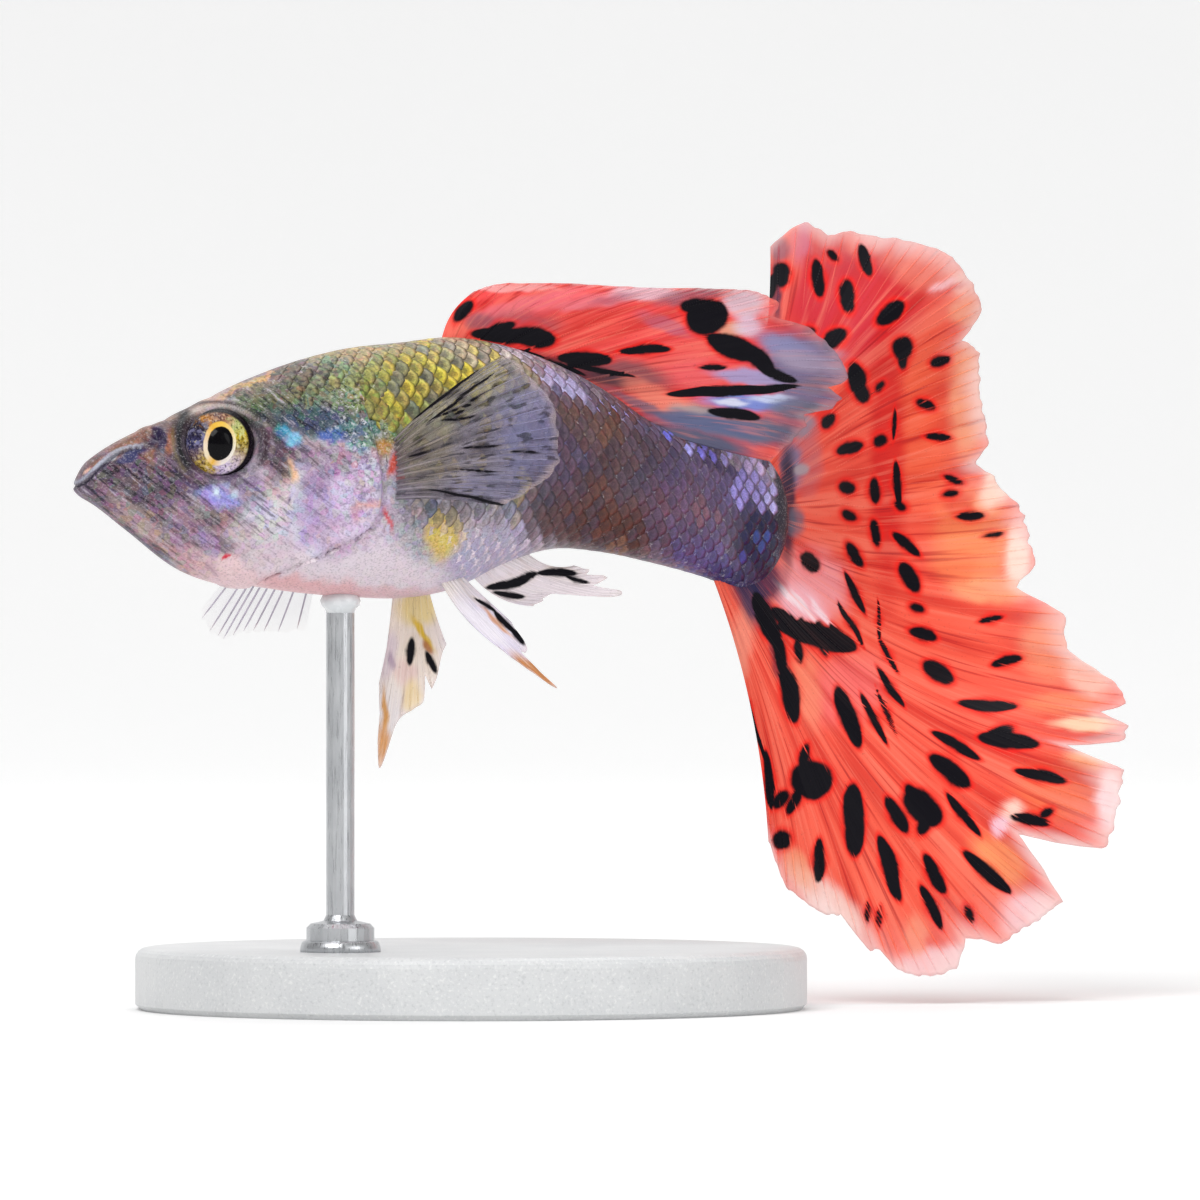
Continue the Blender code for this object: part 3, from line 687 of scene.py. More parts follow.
def make_skin(finish):
    reaches = skin_reaches()
    rings = len(reaches) + 1
    sides = 180
    bm = bmesh.new()
    bmesh.ops.create_uvsphere(bm, u_segments=sides, v_segments=rings, radius=1)
    marking = bm.verts.layers.float_color.new("marking")
    places = {}
    for vertex in bm.verts:
        ring = in_ring(vertex, rings)
        degrees = math.degrees(math.atan2(vertex.co.y, vertex.co.x))
        reach = ([0.0] + reaches + [STALK_END + STALK_ROUND])[ring]
        places[vertex] = (reach, degrees)
        vertex.co = section(reach, degrees) * MM
    bmesh.ops.recalc_face_normals(bm, faces=bm.faces)
    bm.normal_update()
    for vertex, (reach, degrees) in places.items():
        left = section(reach, on_left(degrees))
        vertex[marking] = body_colour(*seen(left))
        vertex.co += vertex.normal * relief(reach, left.z) * MM
    paint_face(bm, marking, places)
    return mesh_piece("skin", bm, finish, ("head", "trunk", "tail_stalk"))


# Distance from the middle of the eye, its softness, colour, strength, and the part of
# the ring it covers: the angle of its middle, 0 at the front and 90 above, and its half
# The dark rings at the socket's edge and the wide dark crescent in front of the eye are painted
# shade; the pale arc above the eye is a painted highlight
EYE_RINGS = (
    (1.17, 0.06, 0x15131A, 0.90, 90, 145),
    (1.19, 0.05, 0x4A3E50, 0.80, 270, 50),
    (1.40, 0.21, 0x080C0C, 1.00, 8, 66),
    (1.58, 0.05, 0x6E6238, 0.60, -10, 40),
    (1.33, 0.055, 0xC9BDB6, 0.80, 95, 50),
    (1.44, 0.06, 0x2A1A24, 0.90, 100, 60),
    (1.32, 0.07, 0x2A1522, 0.90, 190, 50),
    (1.50, 0.07, 0x9A8290, 0.40, 175, 35),
)


def paint_face(bm, marking, places):
    """The rings round the eye, with painted shade at its socket and a painted highlight above it,
    and the lines of the lips, drawn on the skin
    """
    for vertex, (reach, degrees) in places.items():
        if reach > 7:
            continue
        level = section(reach, on_left(degrees)).z
        colour = vertex[marking]
        forward, up = EYE_REACH - reach, level - EYE_LEVEL
        from_eye = math.hypot(forward, up)
        laid = []
        if from_eye < 2.4:
            angle = math.degrees(math.atan2(up, forward))
            for radius, width, code, strength, middle, half in EYE_RINGS:
                away = abs((angle - middle + 180) % 360 - 180)
                share = strength * bump(from_eye - radius, width)
                laid.append((code, share * (1 - ease(half * 0.6, half, away)), 0.1))
        if reach < 3:
            from_mouth = distance_to(FINE_MOUTH, reach, level)
            fade = 1 - ease(1.9, 2.3, reach)
            above = level > smooth_level(reach)
            laid.append((0x1A1730, 0.95 * bump(from_mouth, 0.07) * fade, 0.0))
            if above:
                laid.append((0xA2A6B6, 0.85 * bump(from_mouth - 0.11, 0.045) * fade, 0.0))
                laid.append((0x6A3428, 0.60 * bump(from_mouth - 0.34, 0.12) * fade, 0.5))
        for code, share, flecks in laid:
            for k, part in enumerate(linear(code)):
                colour[k] += (part - colour[k]) * share
            colour[3] += (flecks - colour[3]) * share
        vertex[marking] = colour


def smooth_level(reach):
    """The height of the mouth's line at a reach"""
    return min(FINE_MOUTH, key=lambda row: abs(row[1] - reach))[0]


# Scales: how far apart they sit along the body, and how far apart their rows are on
# the trunk and on the tail stalk
PLATE_PITCH = 0.48
PLATE_ROW = (0.43, 0.37)
PLATE_HALF_LENGTH = 0.40
PLATE_HALF_HEIGHT = 1.06  # as a share of the distance between rows
PLATE_RINGS = ((0.0, 1.0), (0.60, 0.92), (1.0, 0.30), (0.97, -0.50), (0.5, -1.0), (0.0, -1.0))
PLATE_SIDES = 10
BAKE_PATCH = 0.003
PLATE_MARKS = (
    (435, 385, 88, 40, 6, 0xB0A248, 0.80, 0.15),
    (475, 356, 36, 12, -12, 0xB8A890, 0.70, 0.15),
    (345, 392, 40, 22, 12, 0x8A8E50, 0.60, 0.60),
    (400, 425, 60, 14, 10, 0xA2AC5C, 0.50, 0.50),
    (470, 470, 70, 70, 0, 0x9A929C, 0.50, 0.20),
    (420, 565, 150, 34, 0, 0xEAD6DE, 0.50, 0.05),
    (600, 480, 70, 80, 0, 0x62443E, 0.40, 0.15),
    (690, 500, 50, 60, 0, 0x64507A, 0.40, 0.15),
)
# How much the rims of the scales stand out from their middles: how far their rears lift, and how
# strong the painted shade and highlight on them are
PLATE_EDGES = (
    (350, 390, 90, 60, 10, 0x000000, 1.0, 0.40),
    (450, 385, 64, 46, 10, 0x000000, 1.0, 0.95),
    (480, 470, 80, 90, 0, 0x000000, 1.0, 0.50),
    (620, 480, 90, 90, 0, 0x000000, 1.0, 0.42),
    (720, 510, 60, 80, 0, 0x000000, 1.0, 0.34),
    (360, 565, 140, 46, 0, 0x000000, 1.0, 0.06),
    (480, 550, 40, 34, 0, 0x000000, 1.0, 0.22),
)
# Scales lean to one of these two colours, first on the back and then on the tail stalk
PLATE_LEANS = ((0xD2BC30, 0x566878), (0x6E3A22, 0x3E4460))


def angles_at(reach):
    """Degrees on the left side against the arc from its middle, up and down"""
    found = {}
    for sense in (1, -1):
        arc, rows, last = 0.0, [(0.0, 0.0)], section(reach, 0)
        for step in range(1, 31):
            point = section(reach, sense * step * 3)
            arc += (point - last).length
            rows.append((arc, sense * step * 3.0))
            last = point
        found[sense] = rows
    return found


def degrees_at(rows, arc):
    for (low, first), (high, second) in zip(rows, rows[1:]):
        if arc <= high:
            return first + (second - first) * (arc - low) / (high - low)
    return rows[-1][1]


def carries_plates(reach, degrees):
    level = section(reach, degrees).z
    if level > 21.2 and reach > 7.0 - (level - 21.2) * 0.5:
        return True
    return reach > smooth(GILL_LINE, level)[0] + 0.6


def plate_places():
    """Reach, degrees and row spacing of each scale of the left side, the back and belly"""
    columns = int((STALK_END + 1.35 - 6.2) / PLATE_PITCH)
    for column in range(columns):
        for row in range(-28, 30):
            reach = 6.2 + PLATE_PITCH * (column + (0.5 if row % 2 else 0.0))
            share = ease(13.0, 20.0, reach)
            spacing = PLATE_ROW[0] + (PLATE_ROW[1] - PLATE_ROW[0]) * share
            rows = angles_at(round(reach, 3))[1 if row >= 0 else -1]
            arc = abs(row) * spacing
            if arc > rows[-1][0] - 0.4 * spacing:
                continue
            degrees = degrees_at(rows, arc)
            if carries_plates(reach, degrees):
                yield reach, degrees, spacing
        for degrees in (90.0, -90.0):
            reach = 6.2 + PLATE_PITCH * (column + 0.25)
            if carries_plates(reach, degrees):
                yield reach, degrees, PLATE_ROW[0] + (PLATE_ROW[1] - PLATE_ROW[0]) * share


def shape_plate(vertices, layers, reach, degrees, spacing, tint, lean):
    marking, rim, contrast, bake = layers
    left = section(reach, on_left(degrees))
    px, py = seen(left)
    colour = list(body_colour(px, py, BROAD_BODY_MARKS))
    colour = list(blend_patches(PLATE_MARKS, px, py, colour[:3], fleck=colour[3]))
    edge = blend_patches(PLATE_EDGES, px, py, (0, 0, 0), fleck=0.4)[3]
    leans = linear(PLATE_LEANS[reach > 14.5][lean < 0])
    keen = ease(0.38, 0.5, edge) if reach < 14.5 else 1 - ease(20.5, 22.0, reach)
    share = abs(lean) * (0.6 if reach < 14.5 else 0.36) * keen
    colour[:3] = [part + (leant - part) * share for part, leant in zip(colour, leans)]
    colour = [part * tint for part in colour[:3]] + [colour[3] * 0.8]
    # Scales that catch the light get a painted highlight in their middles, fading out towards the
    # rim
    light = colour
    for x, y, half, height, code in BRIGHT_SCALES:
        if math.hypot((px - x) / half, (py - y) / height) < 1:
            light = [part * tint for part in linear(code)] + [0.05]
    per_degree = (section(reach, degrees + 1) - section(reach, degrees - 1)).length / 2
    half_turn = spacing * PLATE_HALF_HEIGHT / max(per_degree, 0.004)
    faces = set()
    for vertex in vertices:
        radius, rise = PLATE_RINGS[in_ring(vertex, len(PLATE_RINGS) - 1)]
        turn = math.atan2(vertex.co.y, vertex.co.x)
        along, across = radius * math.cos(turn), radius * math.sin(turn)
        narrow = 1 - 0.16 * across * across * (1 if along > 0 else 0.3)
        at = reach + along * PLATE_HALF_LENGTH * narrow
        around = degrees + across * half_turn
        lift = -0.022 + (0.012 + 0.034 * edge) * (along + 1) / 2 + 0.010 * rise
        vertex.co = (section(at, around) + outward(reach, degrees) * lift) * MM
        fade = ease(0.62, 1.0, radius)
        vertex[marking] = [part + (base - part) * fade for part, base in zip(light, colour)]
        vertex[rim] = radius
        # How strong the painted shade and highlight on this scale are
        vertex[contrast] = edge
        faces.update(vertex.link_faces)
    root = (reach / 26, degrees / 360 + 0.5)
    for face in faces:
        for loop in face.loops:
            spread = (hash_share(loop.vert.index) - 0.5, hash_share(loop.vert.index + 7) - 0.5)
            loop[bake].uv = [root[k] + BAKE_PATCH * spread[k] for k in range(2)]


def hash_share(number):
    """A number from 0 to 1 that looks random but is the same each time"""
    return math.sin(number * 12.9898) * 43758.5453 % 1


def make_scales(finish):
    """Thin plates over the skin, sunk at the front and free at the rear"""
    pick = random.Random(5)
    plans = []
    for reach, degrees, spacing in plate_places():
        tint, lean = pick.uniform(0.80, 1.18), pick.uniform(-1, 1)
        reach += pick.uniform(-0.03, 0.03)
        plans.append((reach, degrees, spacing, tint, lean))
        if abs(degrees) < 89:
            plans.append((reach, 180 - degrees, spacing, tint, lean))
    bm = bmesh.new()
    sizes = [(PLATE_SIDES, len(PLATE_RINGS) - 1)] * len(plans)
    add_balls(bm, sizes)
    layers = (
        bm.verts.layers.float_color.new("marking"),
        bm.verts.layers.float.new("rim"),
        bm.verts.layers.float.new("contrast"),
        bm.loops.layers.uv.new("OFBake"),
    )
    bm.verts.index_update()
    for vertices, plan in zip(balls_of(bm, sizes), plans):
        shape_plate(vertices, layers, *plan)
    bmesh.ops.recalc_face_normals(bm, faces=bm.faces)
    return mesh_piece("scales", bm, finish, ("head", "trunk", "tail_stalk"))


# Lengths of the eye are read from the middle of its pupil
PUPIL_TILT = -8.0
PUPIL_HALF_WIDTH = 0.43
PUPIL_HALF_HEIGHT = 0.59
PUPIL_PLACE = (220.7, 443.4)
IRIS_RADIUS = 1.06
# Colours round the iris, from its front over its lower edge to its rear and its top
IRIS_STOPS = (
    (0.0, 0x36345A),
    (0.06, 0x6A5662),
    (0.12, 0x8C7048),
    (0.19, 0xB89828),
    (0.25, 0xBCA8CC),
    (0.32, 0xD4C2DE),
    (0.40, 0xB8A29C),
    (0.46, 0x9A8240),
    (0.55, 0xC4AC28),
    (0.62, 0xAEB874),
    (0.69, 0x926650),
    (0.76, 0x5C444C),
    (0.81, 0xB87C38),
    (0.87, 0x2C2632),
    (1.0, 0x36345A),
)
IRIS_SHINE_STOPS = (
    (0.0, 0x8C8CBC),
    (0.14, 0xE8C848),
    (0.25, 0xF0ECFA),
    (0.42, 0xF0E0C0),
    (0.56, 0xD8E0A0),
    (0.70, 0xD0A070),
    (0.85, 0x7A7488),
    (1.0, 0x8C8CBC),
)
PUPIL_RING_STOPS = (
    (0.0, 0xE4D0B8),
    (0.12, 0xE8D8B8),
    (0.20, 0xE8B444),
    (0.27, 0xEEE2DA),
    (0.38, 0xF4ECE2),
    (0.50, 0xF4E8C4),
    (0.62, 0xE8D090),
    (0.72, 0xDCB44C),
    (0.83, 0xD8A638),
    (0.91, 0xDEBC88),
    (1.0, 0xE4D0B8),
)


def iris_finish():
    made = Finish("eye_finish", Coat_Weight=0.14, Coat_Roughness=0.03, Specular_IOR_Level=0.06)
    across, up, _ = made.parts(made.uv("iris"))
    radius = (across * across + up * up) ** 0.5
    around = up.sum_with("ARCTAN2", across) / (2 * math.pi) + 0.5
    tilt = math.radians(PUPIL_TILT)
    wide = (across * math.cos(tilt) + up * math.sin(tilt)) / PUPIL_HALF_WIDTH
    tall = (up * math.cos(tilt) - across * math.sin(tilt)) / PUPIL_HALF_HEIGHT
    pupil = (wide * wide + tall * tall) ** 0.5
    grain = made.place.noise(5.0, 3.0)
    fine = made.place.noise(12.0, 1.5)
    spread = around + (grain - 0.5) * 0.16
    iris = spread.ramp(IRIS_STOPS)
    ring = around.ramp(PUPIL_RING_STOPS)
    colour = iris.mix(0x140F1C, fine.ease(0.50, 0.30) * 0.75)
    colour = colour.mix(0xF2E7C8, fine.ease(0.54, 0.74) * 0.40)
    shine = around.ramp(IRIS_SHINE_STOPS)
    colour = colour.mix(shine, grain.ease(0.50, 0.62) * 0.55)
    colour = colour.mix(0x120C14, radius.ease(IRIS_RADIUS - 0.03, IRIS_RADIUS + 0.07))
    wander = pupil + (grain - 0.5) * 0.10
    colour = colour.mix(ring, wander.ease(1.37, 1.26))
    colour = colour.mix(0x020104, wander.ease(1.06, 0.99))
    made.set(Base_Color=colour, Roughness=fine.ease(0.3, 0.7, 0.18, 0.36))
    made.raise_by(fine * pupil.ease(1.0, 1.2), 0.03)
    return made.material


def make_eye(side, word, finish):
    """An eyeball with a lens that bulges through its pupil"""
    centre = in_body(EYE_REACH, EYE_OUT * side, EYE_LEVEL)
    out = sideways(EYE_REACH) * side
    up = Vector((0, 0, 1))
    rear = (up.cross(out) * side).normalized()
    middle = Vector(seen(in_body(EYE_REACH, EYE_OUT + EYE_DEPTH, EYE_LEVEL)))
    shift = (Vector(PUPIL_PLACE) - middle) / PIXELS_PER_MM
    rings = 64
    bm = bmesh.new()
    bmesh.ops.create_uvsphere(bm, u_segments=72, v_segments=rings, radius=1)
    iris = bm.loops.layers.uv.new("iris")
    for vertex in bm.verts:
        x, y, z = vertex.co
        across, rise = x * EYE_RADIUS - shift.x, y * EYE_RADIUS + shift.y
        lens = math.hypot(across / (PUPIL_HALF_WIDTH + 0.03), rise / (PUPIL_HALF_HEIGHT + 0.03))
        bulge = 0.07 * (1 - ease(0.6, 1.15, lens)) if z > 0 else 0
        hollow = 0.05 * bump(math.hypot(across, rise) - 0.85, 0.22) if z > 0 else 0
        place = centre + rear * x * EYE_RADIUS + up * y * EYE_RADIUS
        place += out * (z * EYE_DEPTH + bulge - hollow)
        for loop in vertex.link_loops:
            loop[iris].uv = (across, rise)
        vertex.co = place * MM
    bmesh.ops.recalc_face_normals(bm, faces=bm.faces)
    return mesh_piece(f"eyeball_{word}", bm, finish, (f"eye_{word}",))


# Share of the way across a fin, middle and tip of the ray there
TAIL_RAYS = (
    (0.000, (9.88, 5.4, 11.5), (10.6, 5.0, 5.8)),
    (0.030, (10.5, 5.4, 10.2), (11.35, 4.6, 4.1)),
    (0.080, (11.5, 5.4, 9.1), (13.3, 4.4, 2.95)),
    (0.130, (12.4, 5.6, 8.6), (15.6, 4.3, 1.1)),
    (0.165, (13.0, 5.8, 8.5), (17.3, 4.6, 1.2)),
    (0.230, (14.3, 6.4, 8.8), (20.1, 5.6, 2.7)),
    (0.272, (15.0, 7.0, 9.2), (21.5, 6.4, 3.7)),
    (0.330, (15.8, 8.2, 9.9), (23.0, 7.6, 5.7)),
    (0.370, (16.3, 9.2, 10.4), (23.7, 8.5, 7.5)),
    (0.420, (16.6, 10.2, 11.3), (23.9, 9.7, 9.4)),
    (0.480, (16.7, 11.6, 12.8), (23.65, 11.2, 11.4)),
    (0.515, (16.5, 12.2, 13.8), (21.95, 12.2, 12.8)),
    (0.545, (16.3, 12.7, 14.9), (21.8, 13.2, 14.35)),
    (0.580, (15.9, 13.1, 16.0), (20.7, 14.6, 16.3)),
    (0.625, (15.6, 13.45, 17.4), (20.2, 15.5, 17.9)),
    (0.660, (15.4, 13.7, 18.5), (19.3, 16.4, 19.1)),
    (0.700, (15.25, 13.8, 19.9), (19.1, 17.0, 20.9)),
    (0.760, (15.0, 13.8, 21.8), (18.7, 17.7, 23.5)),
    (0.820, (14.7, 13.6, 23.2), (18.85, 17.9, 25.75)),
    (0.880, (13.9, 13.2, 24.0), (17.45, 17.5, 27.6)),
    (0.940, (12.6, 12.4, 24.2), (14.1, 16.6, 28.3)),
    (0.980, (11.3, 11.5, 24.2), (12.1, 15.7, 28.6)),
    (1.000, (10.7, 11.0, 23.9), (11.0, 14.6, 27.7)),
)
TAIL_ROOT_ANGLES = (-146.0, 92.0)
# Share of the way across, half width as a share, depth
TAIL_NOTCHES = (
    (0.085, 0.012, 0.4),
    (0.115, 0.010, 0.4),
    (0.188, 0.020, 0.9),
    (0.298, 0.028, 2.9),
    (0.407, 0.014, 2.0),
    (0.450, 0.012, 0.9),
    (0.557, 0.016, 1.3),
    (0.676, 0.012, 0.6),
    (0.790, 0.021, 1.1),
    (0.960, 0.014, 0.5),
)

DORSAL_ROOT = (12.7, 20.0)
DORSAL_RAYS = (
    (0.00, (-0.8, -3.0, 24.5), (0.15, -2.4, 25.6)),
    (0.05, (0.0, -2.7, 24.9), (1.1, -1.9, 25.85)),
    (0.12, (1.4, -2.0, 25.1), (3.2, -0.6, 25.9)),
    (0.24, (3.3, -0.9, 24.9), (6.0, 1.2, 25.8)),
    (0.36, (5.1, 0.4, 24.7), (8.6, 2.9, 25.8)),
    (0.48, (6.6, 1.4, 24.4), (10.6, 4.2, 25.6)),
    (0.60, (7.9, 2.2, 23.6), (12.6, 5.4, 24.1)),
    (0.70, (8.9, 3.0, 22.8), (13.6, 6.2, 22.8)),
    (0.80, (9.3, 3.4, 22.1), (13.2, 6.1, 21.7)),
    (0.90, (9.0, 3.2, 21.2), (11.9, 5.3, 20.7)),
    (1.00, (8.2, 2.6, 20.2), (10.8, 4.3, 19.6)),
)
DORSAL_NOTCHES = ((0.54, 0.03, 0.9), (0.75, 0.03, 0.8), (0.85, 0.03, 0.7))

PECTORAL_REACH = 9.95
PECTORAL_ANGLES = (17.0, -9.0)
LEFT_PECTORAL_RAYS = (
    (0.00, (-1.0, -8.3, 21.7), (1.2, -7.3, 23.2)),
    (0.17, (-0.5, -8.4, 21.5), (1.9, -7.1, 22.8)),
    (0.34, (0.1, -8.5, 20.7), (2.9, -6.9, 21.6)),
    (0.50, (0.3, -8.5, 19.8), (3.2, -6.8, 20.2)),
    (0.67, (0.2, -8.4, 19.1), (3.0, -6.9, 19.1)),
    (0.84, (-0.2, -8.4, 18.5), (2.1, -7.2, 18.4)),
    (1.00, (-0.7, -8.3, 18.1), (1.2, -7.5, 17.9)),
)
RIGHT_PECTORAL_RAYS = (
    (0.00, (-7.7, -1.0, 16.6), (-9.7, -1.1, 14.2)),
    (0.20, (-7.4, -0.9, 16.2), (-9.2, -1.0, 13.3)),
    (0.40, (-7.1, -0.8, 16.0), (-8.7, -0.8, 13.2)),
    (0.60, (-6.7, -0.6, 15.8), (-8.0, -0.5, 13.4)),
    (0.80, (-6.2, -0.5, 15.7), (-7.2, -0.3, 13.4)),
    (1.00, (-5.5, -0.4, 15.6), (-5.9, -0.1, 13.5)),
)

PELVIC_ANGLE = -63.0
LEFT_PELVIC_REACH = (12.15, 12.85)
LEFT_PELVIC_RAYS = (
    (0.00, (-0.25, -4.9, 14.1), (1.0, -5.0, 12.95)),
    (0.25, (0.4, -4.8, 13.85), (2.05, -4.9, 12.15)),
    (0.45, (0.6, -4.7, 13.85), (3.2, -4.8, 11.4)),
    (0.62, (0.68, -4.65, 14.0), (2.1, -4.7, 12.4)),
    (0.82, (0.66, -4.5, 14.35), (2.0, -4.6, 13.0)),
    (1.00, (0.5, -4.4, 14.7), (1.5, -4.4, 13.8)),
)
RIGHT_PELVIC_REACH = (11.6, 12.7)
RIGHT_PELVIC_RAYS = (
    (0.00, (-2.95, -3.0, 13.0), (-3.25, -2.6, 11.6)),
    (0.25, (-2.7, -2.8, 12.1), (-3.25, -2.3, 8.6)),
    (0.42, (-2.35, -2.75, 12.4), (-2.65, -2.3, 10.1)),
    (0.64, (-1.9, -2.6, 12.7), (-1.8, -2.2, 10.8)),
    (0.84, (-1.5, -2.4, 13.0), (-1.25, -2.1, 11.7)),
    (1.00, (-1.15, -2.3, 13.8), (-0.85, -2.0, 13.0)),
)

ANAL_REACH = (13.8, 15.6)
ANAL_RAYS = (
    (0.00, (1.1, -2.3, 14.65), (2.3, -1.8, 14.38)),
    (0.25, (1.8, -1.9, 14.95), (3.2, -1.1, 14.9)),
    (0.50, (2.7, -1.4, 15.2), (5.3, 0.2, 14.75)),
    (0.75, (2.8, -1.3, 15.5), (4.9, 0.0, 15.45)),
    (1.00, (2.7, -1.3, 15.85), (3.7, -0.6, 15.85)),
)



# Markings of the tail fin, broad ones first
TAIL_BASE = 0xF25A46
TAIL_MARKS = (
    (850, 300, 80, 70, 0, 0xCE323E, 1.0, 0.3),
    (930, 425, 40, 95, 0, 0xF06242, 0.9, 0.3),
    # A painted shade line along the fold of the fin
    (887, 450, 18, 150, 0, 0xD62020, 0.85, 0.3),
    (968, 400, 20, 60, 0, 0xF6A47A, 0.9, 0.1),
    (925, 270, 45, 22, -20, 0xF08470, 0.9, 0.2),
    (967, 286, 18, 14, -30, 0xF6B8A8, 0.8, 0.1),
    (966, 312, 18, 16, 0, 0xF4A07C, 0.8, 0.1),
    # A pale line and a dark red line beside it: painted highlight and painted shade along a fold
    # near the top of the fin
    (942, 286, 16, 4, 24, 0xF2B8BC, 0.9, 0.0),
    (948, 290, 24, 3, 22, 0xE05852, 0.8, 0.1),
    (975, 540, 42, 50, 0, 0xF4925E, 0.9, 0.2),
    (958, 505, 16, 14, 0, 0xD83A30, 0.7, 0.2),
    (1018, 560, 13, 36, 0, 0xF9E2D2, 0.9, 0.0),
    (1000, 480, 16, 34, -30, 0xF9DCC8, 0.9, 0.0),
    (960, 640, 60, 50, 0, 0xF2604A, 0.8, 0.3),
    (990, 590, 40, 14, 0, 0xF6A878, 0.8, 0.05),
    (955, 565, 26, 16, 0, 0xF47E52, 0.8, 0.2),
    (1050, 645, 30, 36, 0, 0xF49A74, 0.8, 0.1),
    (1088, 676, 28, 20, -40, 0xF8CCB8, 0.8, 0.0),
    (1060, 705, 40, 12, 0, 0xF48E62, 0.7, 0.2),
    (1085, 724, 34, 8, 0, 0xF6D8B4, 0.9, 0.0),
    (1104, 736, 24, 3, 8, 0xB8605C, 0.8, 0.0),
    (1088, 760, 24, 12, 0, 0xF8CC9C, 0.8, 0.0),
    (1060, 790, 46, 32, 0, 0xEE7048, 0.8, 0.3),
    (1110, 800, 14, 34, 0, 0xF8DCE0, 0.9, 0.0),
    (900, 860, 100, 60, -10, 0xF2604A, 0.9, 0.3),
    (938, 962, 50, 16, 10, 0xF2CCD0, 0.8, 0.0),
    (1030, 914, 30, 26, 0, 0xEFCCD2, 0.8, 0.0),
    (916, 935, 12, 22, 0, 0xF49A7C, 0.7, 0.0),
    (1000, 862, 34, 22, -40, 0xF49C66, 0.8, 0.1),
    (1012, 812, 14, 12, 0, 0xF8D8C8, 0.9, 0.0),
    (1000, 826, 8, 12, -30, 0xF2C8D8, 0.9, 0.0),
    (828, 900, 54, 15, -40, 0xF4C8BE, 0.95, 0.0),
    (800, 870, 12, 26, 30, 0xF6A078, 0.7, 0.1),
    (738, 655, 13, 70, -12, 0xF6907A, 0.9, 0.1),
    (812, 585, 40, 34, -50, 0xF49A9E, 1.0, 0.1),
    (800, 604, 26, 18, -30, 0xF6B4BE, 1.0, 0.0),
    (789, 598, 22, 3, -50, 0xFCE4EA, 0.9, 0.0),
    (803, 607, 22, 3, -52, 0xFCE0E6, 0.9, 0.0),
    (819, 613, 20, 3, -54, 0xFADCE4, 0.9, 0.0),
    (845, 690, 34, 44, -60, 0xF4706E, 0.8, 0.2),
    (806, 690, 14, 40, 10, 0xF68A6C, 0.8, 0.1),
    (805, 462, 16, 36, 0, 0xC86C70, 0.8, 0.2),
    (790, 468, 12, 26, 0, 0x7E7090, 0.95, 0.0),
    (800, 470, 9, 7, 0, 0xA89CA4, 0.9, 0.0),
    (797, 425, 20, 14, 0, 0x8C8494, 0.9, 0.0),
    (796, 390, 30, 10, 0, 0x4A3C50, 0.8, 0.0),
    (802, 352, 40, 12, -6, 0x9A8CA4, 0.9, 0.0),
    (822, 372, 26, 9, -8, 0xC0A0B4, 0.8, 0.0),
    (786, 505, 9, 62, 0, 0x241C38, 0.95, 0.0),
    (795, 522, 9, 16, 0, 0x5C6478, 0.8, 0.0),
    (752, 600, 40, 15, -60, 0x2C2E50, 0.95, 0.0),
    (762, 582, 22, 20, -30, 0x26284C, 0.9, 0.0),
    (778, 660, 44, 7, -74, 0x3A2038, 0.8, 0.0),
    (780, 249, 10, 12, 0, 0x8A4A62, 0.8, 0.0),
    (801, 240, 10, 26, -10, 0xD4708A, 0.8, 0.1),
    (776, 290, 6, 34, 0, 0x2A2440, 0.9, 0.0),
    (865, 244, 20, 14, 0, 0xF07A6A, 0.8, 0.2),
)
